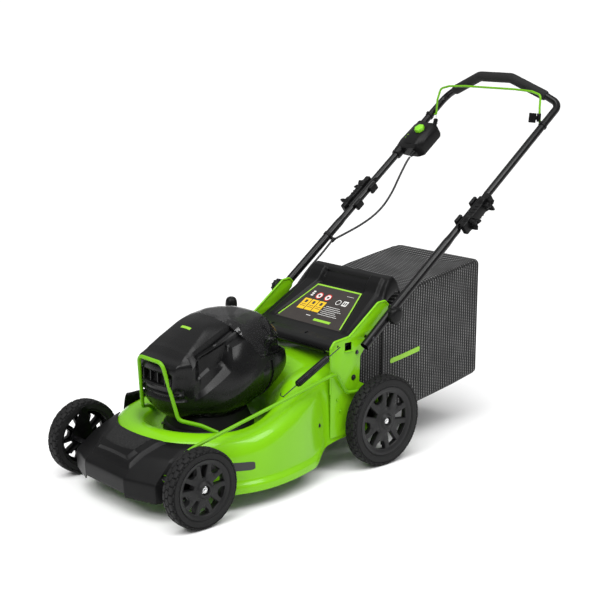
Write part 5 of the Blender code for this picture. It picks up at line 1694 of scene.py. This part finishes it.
def add_brackets():
    outline = [(-0.163, 0.100), (-0.163, 0.350), (-0.150, 0.366), (-0.095, 0.372),
               (0.012, 0.449), (0.038, 0.451), (0.052, 0.437), (0.048, 0.424), (0.012, 0.389),
               (0.044, 0.389), (0.044, 0.379), (0.002, 0.377), (-0.022, 0.350), (-0.054, 0.312),
               (-0.057, 0.240), (0.010, 0.205), (0.050, 0.170), (0.050, 0.100)]
    window = [(-0.1115, 0.335), (-0.0865, 0.335), (-0.0865, 0.357), (-0.1115, 0.357)]
    corners = rounded([(y, z, 0) for y, z in outline], 0.005, 4, True)
    corners = [(p.x, p.y) for p in corners]
    holes = [window] + [circle(c, r, 24) for c, r in (
        (FOLD_PIVOT, 0.0046), ((-0.045, 0.139), 0.0072), ((-0.137, 0.352), 0.0032))]
    for side, word in SIDES:
        plate = prism("bracket_look_" + word, corners, side * 0.1975, side * 0.2000, LIME, "X",
                      holes, 0.0006)
        edge_path = rounded([(side * 0.1985, y, z) for y, z in (
            (-0.1625, 0.225), (-0.1625, 0.350), (-0.150, 0.3655), (-0.095, 0.3715),
            (0.012, 0.4485), (0.038, 0.4505), (0.0515, 0.437))], 0.010, 6)
        bead = pipe("bead", edge_path, 0.0032, LIME, 16)
        parts = [plate, bead]
        if side > 0:
            parts.append(block("sill", (0.1995, -0.113, 0.3320), (0.2045, -0.083, 0.3345), LIME,
                               0.0008))
            parts += [bolt_head("bolt", (0.2000, y, z), size, 0.0038, finish) for
                      y, z, size, finish in (
                          (-0.067, 0.3245, 0.0045, DARK_STEEL), (-0.079, 0.256, 0.0062, DARK_STEEL),
                          (-0.140, 0.205, 0.0032, LIME), (-0.128, 0.172, 0.0032, LIME))]
        place(joined(*parts), "chassis", "lime_paint", "bracket_" + word, angle=30)
        pin = pipe("lock_pin_" + word, [(side * x, 0.043, 0.384) for x in (0.1960, 0.2070)],
                   0.0048, BLACK_PLASTIC, 20)
        place(pin, "chassis", "black_plastic")


def add_lever():
    path = [(-0.057, 0.143), (-0.041, 0.151), (-0.025, 0.214), (-0.104, 0.300), (-0.178, 0.3850),
            (-0.1955, 0.3845), (-0.126, 0.290), (-0.049, 0.209)]
    corners = [(p.x, p.y) for p in rounded([(y, z, 0) for y, z in path[::-1]], 0.006, 4, True)]
    lever = prism("lever_look", corners, -(CRANK_FACE + 0.0024), -CRANK_FACE, STEEL, "X", (),
                  0.0006)
    tang = block("tang", (-(CRANK_FACE + 0.0024), -0.195, 0.3832), (-0.183, -0.180, 0.3856), STEEL,
                 0.0005)
    place(joined(lever, tang), "rear_axle", "steel", "height_lever", angle=35)
    knob = lathe("lever_knob_look", [
        (0.0, 0.0445), (0.0055, 0.0442), (0.0100, 0.0425), (0.0138, 0.0385), (0.0158, 0.0330),
        (0.0170, 0.0240), (0.0168, 0.0170), (0.0150, 0.0070), (0.0128, 0.0025), (0.0090, 0.0),
        (0.0, 0.0)], BLACK_PLASTIC, (-0.190, -0.188, 0.3858))
    place(knob, "rear_axle", "black_plastic", "lever_knob", angle=40)


# Rear door, label, bag and flap

# How far the label's printing, and the marks on that, stand off the door
INK_LIFT = 0.0008
MARK_LIFT = 0.0011
DOOR_STATIONS = [
    # Y, Z, half-width, drop of the rounded edge
    (-0.1460, 0.3385, 0.168, 0.004), (-0.1410, 0.3490, 0.178, 0.006),
    (-0.1240, 0.3550, 0.184, 0.010), (-0.0950, 0.3590, 0.182, 0.012),
    (-0.0740, 0.3655, 0.180, 0.014), (0.0000, 0.4115, 0.172, 0.016),
    (0.0620, 0.4520, 0.163, 0.018), (0.0780, 0.4780, 0.158, 0.034),
    (0.0950, 0.4960, 0.155, 0.042), (0.1130, 0.5010, 0.153, 0.040),
    (0.1240, 0.4920, 0.152, 0.034), (0.1330, 0.4680, 0.152, 0.016),
]
DOOR_STEP = 0.0028
PANEL_LOW = Vector((0, -0.0740, 0.3655))
PANEL_HIGH = Vector((0, 0.0620, 0.4520))
PANEL_NORMAL = Vector((0, -(PANEL_HIGH.z - PANEL_LOW.z), PANEL_HIGH.y - PANEL_LOW.y)).normalized()


def door_relief(x, y, z):
    """Frames at the label's sides, the sunk label panel and the finger pocket over it."""
    side = abs(x)
    up = (Vector((0, y, z)) - PANEL_LOW).dot((PANEL_HIGH - PANEL_LOW).normalized())
    length = (PANEL_HIGH - PANEL_LOW).length
    share = up / length
    edge = 0.140 - 0.048 * min(max(share, 0.0), 1.1)
    relief = 0.0
    if -0.05 < share < 1.3:
        rise = step_between(0.0, 1.0, (share + 0.02) / 0.10)
        outer = 0.168 - 0.018 * share
        ridge = min(side - edge, outer - side)
        relief += 0.0085 * rise * step_between(0.0, 1.0, (ridge + 0.002) / 0.012) * min(
            1.0, 0.35 + max(share, 0) * 0.65)
    pocket_low = length + 0.002
    if up > pocket_low - 0.01:
        bank = min(up - pocket_low, 0.090 - side)
        if z < 0.488 and y < 0.088:
            relief -= 0.0050 * step_between(0.0, 1.0, (bank + 0.001) / 0.004)
    return relief


def add_door():
    fine = []
    points = [Vector(station) for station in DOOR_STATIONS]
    for a, b in zip(points, points[1:]):
        count = max(2, int((b.xy - a.xy).length / DOOR_STEP))
        fine += [a.lerp(b, k / count) for k in range(count)]
    fine.append(points[-1])
    for _ in range(2):
        fine = [fine[0]] + [(fine[k - 1] + 2 * fine[k] + fine[k + 1]) / 4
                            for k in range(1, len(fine) - 1)] + [fine[-1]]
    rows = []
    for y, z, width, drop in fine:
        half = []
        for k in range(57):
            x = width * k / 56
            relief = door_relief(x, y, z)
            half.append((x, y + PANEL_NORMAL.y * relief, z + PANEL_NORMAL.z * relief))
        for k in range(1, 7):
            angle = math.pi / 2 * k / 6
            half.append((width + 0.010 * math.sin(angle), y + 0.2 * drop * (k / 6) ** 2,
                         z - drop * (1 - math.cos(angle))))
        rows.append(mirrored(half[:0:-1]) + half)
    door = solid("door_look", grid_shape(rows), BLACK_PLASTIC)
    door = thick(door, 0.0060, -1.0)
    door = bevelled(door, 0.0010, 2, 50)
    tree = tree_of(door)
    knuckle = pipe("knuckle", [(-0.150, -0.136, 0.3335), (0.150, -0.136, 0.3335)], 0.0085,
                   BLACK_PLASTIC, 32)
    # Two darker blocks for the slits: painted shade in the slits
    slits = [block("slit", (x - 0.0012, -0.1140, 0.3540), (x + 0.0012, -0.1030, 0.3590),
                   PAINTED_SHADE_PLASTIC, 0.0004) for x in (-0.100, 0.042)]
    place(joined(door, knuckle, *slits), "rear_door", "black_plastic", "rear_door", angle=28)
    rod = pipe("door_rod_look", [(-0.1971, -0.136, 0.3335), (0.1971, -0.136, 0.3335)], 0.0040,
               STEEL, 20)
    place(rod, "chassis", "steel", "door_rod")

    along = (PANEL_HIGH - PANEL_LOW).normalized()

    def on_panel(name, spots, finish, lift):
        """Drapes a grid of (X, distance up the panel) over the door."""
        rows = []
        for row in spots:
            bases = [(x, PANEL_LOW + along * up + PANEL_NORMAL * 0.05) for x, up in row]
            rows.append([(x, base.y, base.z) for x, base in bases])
        return draped(name, tree, rows, -PANEL_NORMAL, lift, finish)

    def patch(name, u_low, u_high, width_low, width_high, finish, lift):
        spots = []
        for up in between(u_low, u_high, 18):
            width = width_low + (width_high - width_low) * (up - u_low) / (u_high - u_low)
            spots.append([(width * share, up) for share in between(-1.0, 1.0, 30)])
        return on_panel(name, spots, finish, lift)

    low, high = 0.006, (PANEL_HIGH - PANEL_LOW).length - 0.006
    wide, narrow = 0.133, 0.091
    panel = patch("door_label_look", low, high, wide, narrow, PANEL, 0.0004)
    place(panel, "rear_door", "lime_plastic", "door_label")
    band = 0.0052
    parts = [patch("border", high - band, high, narrow + 0.002, narrow, LIME_INK, INK_LIFT)]
    for sign in (1, -1):
        spots = []
        for up in between(low + 0.006, high, 24):
            width = wide + (narrow - wide) * (up - low) / (high - low)
            spots.append([(sign * (width - band * k / 3), up) for k in range(4)])
        parts.append(on_panel("border", spots, LIME_INK, INK_LIFT))
    place(joined(*parts), "rear_door", "lime_plastic")

    def flat_patch(name, x0, x1, u0, u1, finish, lift=INK_LIFT):
        spots = [[(x, up) for x in between(x0, x1, 8)] for up in between(u0, u1, 8)]
        return on_panel(name, spots, finish, lift)

    def disc(name, x, up, inner, outer, finish, lift):
        spots = [[(x + reach * math.cos(angle), up + reach * math.sin(angle))
                  for angle in between(0.0, math.tau, 32)] for reach in between(inner, outer, 4)]
        return on_panel(name, spots, finish, lift)

    yellow, white, red, dark = [], [], [], []
    for k in range(3):
        x0 = -0.088 + 0.0310 * k
        yellow.append(flat_patch("tile", x0, x0 + 0.0280, 0.051, 0.094, YELLOW_INK))
        for left, right, bottom, top in ((0.0090, 0.0190, 0.077, 0.088),
                                         (0.004, 0.0240, 0.0690, 0.0708),
                                         (0.004, 0.0240, 0.0625, 0.0643)):
            dark.append(flat_patch("glyph", x0 + left, x0 + right, bottom, top, DECAL_BLACK,
                                   MARK_LIFT))
    for k in range(2):
        x = -0.046 + 0.036 * k
        white.append(disc("sign", x, 0.1120, 0.0003, 0.0125, WHITE_INK, INK_LIFT))
        red.append(disc("ring", x, 0.1120, 0.0098, 0.0128, RED_INK, MARK_LIFT))
        dark.append(flat_patch("glyph", x - 0.0040, x + 0.0040, 0.1085, 0.1155, DECAL_BLACK,
                               MARK_LIFT))
    for k in range(3):
        white.append(flat_patch("tick", -0.0800, -0.0705, 0.1060 + 0.0075 * k,
                                0.1110 + 0.0075 * k, WHITE_INK))
    white.append(disc("roundel", 0.040, 0.104, 0.0078, 0.0098, WHITE_INK, INK_LIFT))
    white.append(flat_patch("square", 0.057, 0.076, 0.095, 0.114, WHITE_INK))
    for low, high in ((0.0605, 0.0650), (0.0680, 0.0725)):
        dark.append(flat_patch("square_core", low, high, 0.0990, 0.1100, PANEL, MARK_LIFT))
    for k in range(6):
        up = 0.046 + 0.0068 * k
        white.append(flat_patch("line", 0.006 + 0.005 * (k % 2), 0.082 - 0.008 * (k % 3), up,
                                up + 0.0014, WHITE_INK))
    white.append(flat_patch("line", 0.050, 0.078, 0.1320, 0.1332, WHITE_INK))
    white.append(flat_patch("line", -0.030, -0.012, 0.0330, 0.0350, WHITE_INK))
    lime = [flat_patch("bar", 0.010, 0.078, 0.0200, 0.0285, LIME_INK)]
    for name, pieces_made in (("label_tiles", yellow), ("label_white", white),
                              ("label_rings", red), ("label_marks", dark), ("label_bar", lime)):
        made = joined(*pieces_made)
        made.name = name
        place(made, "rear_door", "lime_plastic")


BAG_SECTIONS = [
    # Y, half-width, bottom, top
    (0.0690, 0.160, 0.130, 0.392),
    (0.0900, 0.160, 0.104, 0.408),
    (0.1400, 0.166, 0.106, 0.452),
    (0.2400, 0.168, 0.120, 0.474),
    (0.3600, 0.168, 0.138, 0.492),
    (0.4550, 0.166, 0.155, 0.505),
    (0.4650, 0.160, 0.162, 0.499),
]


BAG_CORNER = 0.013
CLOTH = 0.0018
BAG_STEPS = 34


def bag_section(y):
    """Half-width, bottom and top of the bag at a station."""
    for a, b in zip(BAG_SECTIONS, BAG_SECTIONS[1:]):
        if y <= b[0] + 1e-9:
            share = (y - a[0]) / (b[0] - a[0])
            return [p + (q - p) * share for p, q in zip(a[1:], b[1:])]
    return BAG_SECTIONS[-1][1:]


def bag_loop(width, bottom, top):
    """Points round a section, each marked r, t, l or b for its side, or c in a corner."""
    inside, low, high = width - BAG_CORNER, bottom + BAG_CORNER, top - BAG_CORNER
    loop = []
    for quarter, (kind, start, end, centre) in enumerate((
            ("r", (width, low), (width, high), (inside, high)),
            ("t", (inside, top), (-inside, top), (-inside, high)),
            ("l", (-width, high), (-width, low), (-inside, low)),
            ("b", (-inside, bottom), (inside, bottom), (inside, low)))):
        for share in between(0.0, 1.0, BAG_STEPS):
            loop.append((*(p + (q - p) * share for p, q in zip(start, end)), kind))
        for k in range(1, 5):
            angle = math.pi / 2 * (quarter + k / 5)
            loop.append((centre[0] + BAG_CORNER * math.cos(angle),
                         centre[1] + BAG_CORNER * math.sin(angle), "c"))
    return loop


def woven(obj, marks):
    """Stores where each vertex lies in the weave, as distances along and round the cloth."""
    layer = obj.data.attributes.new("weave", "FLOAT_VECTOR", "POINT")
    for spot, mark in zip(layer.data, marks):
        spot.vector = (*mark, 0.0)
    return thick(obj, CLOTH)


def add_bag():
    """A lofted cloth shell: crowned sides, a top that sags between its wires, and soft folds."""
    stations = sorted({*(0.0690 + 0.396 * k / 66 for k in range(67)), 0.090, 0.4550, 0.4650})
    rows, weave = [], []
    for y in stations:
        width, bottom, top = bag_section(y)
        slack = step_between(0.0, 1.0, min((y - 0.075) / 0.06, (0.460 - y) / 0.05))
        around = 0.0
        row = []
        previous = None
        for x, z, kind in bag_loop(width, bottom, top):
            if previous is not None:
                around += math.hypot(x - previous[0], z - previous[1])
            previous = (x, z)
            wave = noise.noise(Vector((x * 7.0 + 3.0, y * 9.0, z * 8.0))) * 0.0030
            fine_wave = noise.noise(Vector((x * 22.0, y * 26.0 + 5.0, z * 20.0))) * 0.0008
            if kind in "rl":
                share = (z - bottom) / (top - bottom)
                belly = math.sin(math.pi * share) ** 0.8 * slack
                crease = 0.0022 * step_between(1.0, 0.0, abs(z - bottom - 0.075) / 0.012) * slack
                push = -0.0035 * belly + (wave + fine_wave) * slack - crease
                x += push if kind == "r" else -push
            elif kind == "t":
                share = 1 - (x / width) ** 2
                z += -0.0085 * share * slack + (wave + fine_wave) * slack
            elif kind == "b":
                share = 1 - (x / width) ** 2
                z += -0.004 * share * slack + (wave + fine_wave) * slack
            row.append((x, y, z))
            weave.append((y, around))
        rows.append(row)
    bag = woven(solid("bag_look", grid_shape(rows, True), BAG_CLOTH), weave)
    rear_rows, rear_weave = [], []
    width, bottom, top = bag_section(0.465)
    for j in range(31):
        z = bottom + (top - bottom) * j / 30
        row = []
        for k in range(31):
            x = -width + 2 * width * k / 30
            corner = min(width - abs(x), z - bottom, top - z)
            share = (z - bottom) / (top - bottom) * 2 - 1
            bulge = 0.006 * (1 - (x / width) ** 2) * (1 - share ** 2)
            wave = noise.noise(Vector((x * 8.0, 1.5, z * 8.0))) * 0.0025
            inset = 0.004 * step_between(1.0, 0.0, corner / 0.008)
            row.append((x * 0.996, 0.4645 + bulge + wave * min(1.0, corner / 0.03) - inset, z))
            rear_weave.append((x, z))
        rear_rows.append(row)
    rear = woven(solid("bag_rear", grid_shape(rear_rows), BAG_CLOTH), rear_weave)
    throat = []
    for k in range(15):
        share = k / 14
        y = -0.048 + 0.122 * share
        low, high = 0.176 - 0.040 * share, 0.318 + 0.060 * share
        throat.append([(0.1560, y, low + (high - low) * j / 24) for j in range(25)])
    for sign, word in SIDES:
        shape = grid_shape([[(sign * x, y, z) for x, y, z in row] for row in throat])
        piece = woven(solid("bag_throat_" + word, shape, BAG_CLOTH),
                      [(y, z) for row in throat for _, y, z in row])
        place(piece, "grass_bag", "bag_cloth", angle=50)
    place(bag, "grass_bag", "bag_cloth", "grass_bag", angle=50)
    place(rear, "grass_bag", "bag_cloth", angle=50)
    hems = []
    for y, inset in ((0.0700, 0.0006), (0.4615, -0.0008)):
        width, bottom, top = bag_section(y)
        loop = rounded([(width - inset, y, bottom + inset), (width - inset, y, top - inset),
                        (-width + inset, y, top - inset), (-width + inset, y, bottom + inset)],
                       0.013, 6, True)
        hems.append(pipe("hem", loop, 0.0024, BINDING, 12, True))
    for side in (1, -1):
        line = []
        for y in [0.0720 + 0.0195 * k for k in range(21)]:
            width, _, top = bag_section(min(y, 0.4615))
            line.append((side * (width - 0.0030), y, top - 0.0034))
        hems.append(pipe("piping", flowing(line, 3), 0.0019, BINDING, 10))
    place(joined(*hems), "grass_bag", "bag_cloth")
    y, low, high, side = 0.0635, 0.140, 0.384, 0.148
    hoop = rounded([(side, y, low), (side, y, high), (-side, y, high), (-side, y, low)], 0.02, 8,
                   True)
    hoop = pipe("bag_frame_look", hoop, 0.0041, BLACK_PAINT, 16, True)
    place(hoop, "grass_bag", "black_paint", "bag_frame")
    band = []
    tree = tree_of(bag)
    for k in range(41):
        share = k / 40
        y = 0.1010 + 0.118 * share
        mid = 0.2590 + 0.018 * share
        past = max(0.0, abs(share - 0.5) * 2 - 0.93)
        tall = 0.0072 * math.sqrt(max(0.0, 1 - past ** 2 / 0.0049))
        band.append([(0.30, y, mid - tall + 2 * tall * j / 4) for j in range(5)])
    stripe = draped("bag_stripe", tree, band, (-1, 0, 0), 0.0006, LIME_INK)
    place(stripe, "grass_bag", "lime_plastic")


def add_flap():
    spots = []
    profile = flowing([(-0.2452, 0.1905), (-0.2500, 0.1935), (-0.2600, 0.1780),
                       (-0.2680, 0.1400), (-0.2760, 0.0900), (-0.2815, 0.0700)], 6)
    for x, z in profile:
        row = []
        for k in range(33):
            y = -0.510 + 0.160 * k / 32
            rib = 0.0016 * step_between(1.0, 0.0, abs(((y + 0.43) / 0.032) % 1.0 - 0.5) / 0.18)
            row.append((x - rib, y, z))
        spots.append(row)
    flap = solid("flap_look", grid_shape(spots), BLACK_PLASTIC)
    flap = thick(flap, 0.0028, 1.0)
    flap = bevelled(flap, 0.0008, 2, 50)
    place(flap, "discharge_flap", "black_plastic", "discharge_flap", angle=30)


# Nodes that keep their CAD shape

def finish_nodes():
    finishes = {
        "motor": ALUMINIUM, "motor_shaft": STEEL, "blade_adapter": ALUMINIUM, "blade": STEEL,
        "blade_bolt": STEEL, "front_axle": DARK_STEEL, "rear_axle": DARK_STEEL,
        "height_quadrant": STEEL,
    }
    for name, node in NODES.items():
        if name not in finishes:
            continue
        for spot in node.material_slots:
            spot.material = finishes[name]
        if not node.material_slots:
            node.data.materials.append(finishes[name])
        node.data.shade_smooth()
        node.data.set_sharp_from_angle(angle=math.radians(30))


# Floor, lights

FLOOR_REACH = 4000.0


def add_stage():
    shape = bmesh.new()
    bmesh.ops.create_grid(shape, x_segments=1, y_segments=1, size=FLOOR_REACH)
    look = Look("studio_floor", Roughness=0.9, Specular_IOR_Level=0.0)
    look.colour(look.mix(look.span(look.noise(3.0, 2.0), 0.3, 0.7), (0.930, 0.930, 0.930),
                         (0.940, 0.940, 0.940)))
    floor = solid("studio_floor", shape, look.material)
    world = bpy.data.worlds.new("studio")
    bpy.context.scene.world = world
    world.use_nodes = True
    tree = world.node_tree
    sky = tree.nodes["Background"]
    sky.inputs[1].default_value = 1.0
    direction = tree.nodes.new("ShaderNodeTexCoord").outputs["Generated"]
    axes = tree.nodes.new("ShaderNodeSeparateXYZ")
    tree.links.new(direction, axes.inputs[0])
    shades = tree.nodes.new("ShaderNodeValToRGB")
    tree.links.new(axes.outputs["Z"], shades.inputs["Fac"])
    stops = shades.color_ramp.elements
    stops[0].position, stops[0].color = 0.05, (0.16, 0.16, 0.16, 1.0)
    stops[1].position, stops[1].color = 0.85, (0.68, 0.68, 0.68, 1.0)
    tree.links.new(shades.outputs["Color"], sky.inputs[0])
    data = bpy.data.lights.new("key", "SUN")
    data.energy = 2.3
    data.angle = math.radians(48.0)
    lamp = bpy.data.objects.new("key", data)
    lamp.rotation_euler = (Vector((0, 0, 0)) - Vector((0.30, -0.75, 1.5))).to_track_quat(
        "-Z", "Y").to_euler()
    bpy.context.scene.collection.objects.link(lamp)
    for name, spot, aim, size, power in (
            ("strip", (1.9, 0.45, 2.7), (0.1, -0.35, 0.3), (0.9, 1.5), 34.0),
            ("front", (0.6, -2.9, 2.1), (0, -0.3, 0.3), (1.6, 0.5), 16.0)):
        data = bpy.data.lights.new(name, "AREA")
        data.shape = "RECTANGLE"
        data.size, data.size_y = size
        data.energy = power
        lamp = bpy.data.objects.new(name, data)
        lamp.location = spot
        lamp.rotation_euler = (Vector(aim) - Vector(spot)).to_track_quat("-Z", "Y").to_euler()
        bpy.context.scene.collection.objects.link(lamp)
    bpy.context.scene.view_settings.view_transform = "Standard"


add_wheels()
add_deck()
add_nose()
add_guard()
add_hood()
add_battery()
add_motor()
add_tubes()
add_clamps()
add_fold_fittings()
add_bail()
add_control_box()
add_cables()
add_linkage()
add_brackets()
add_lever()
add_door()
add_bag()
add_flap()
finish_nodes()
add_stage()
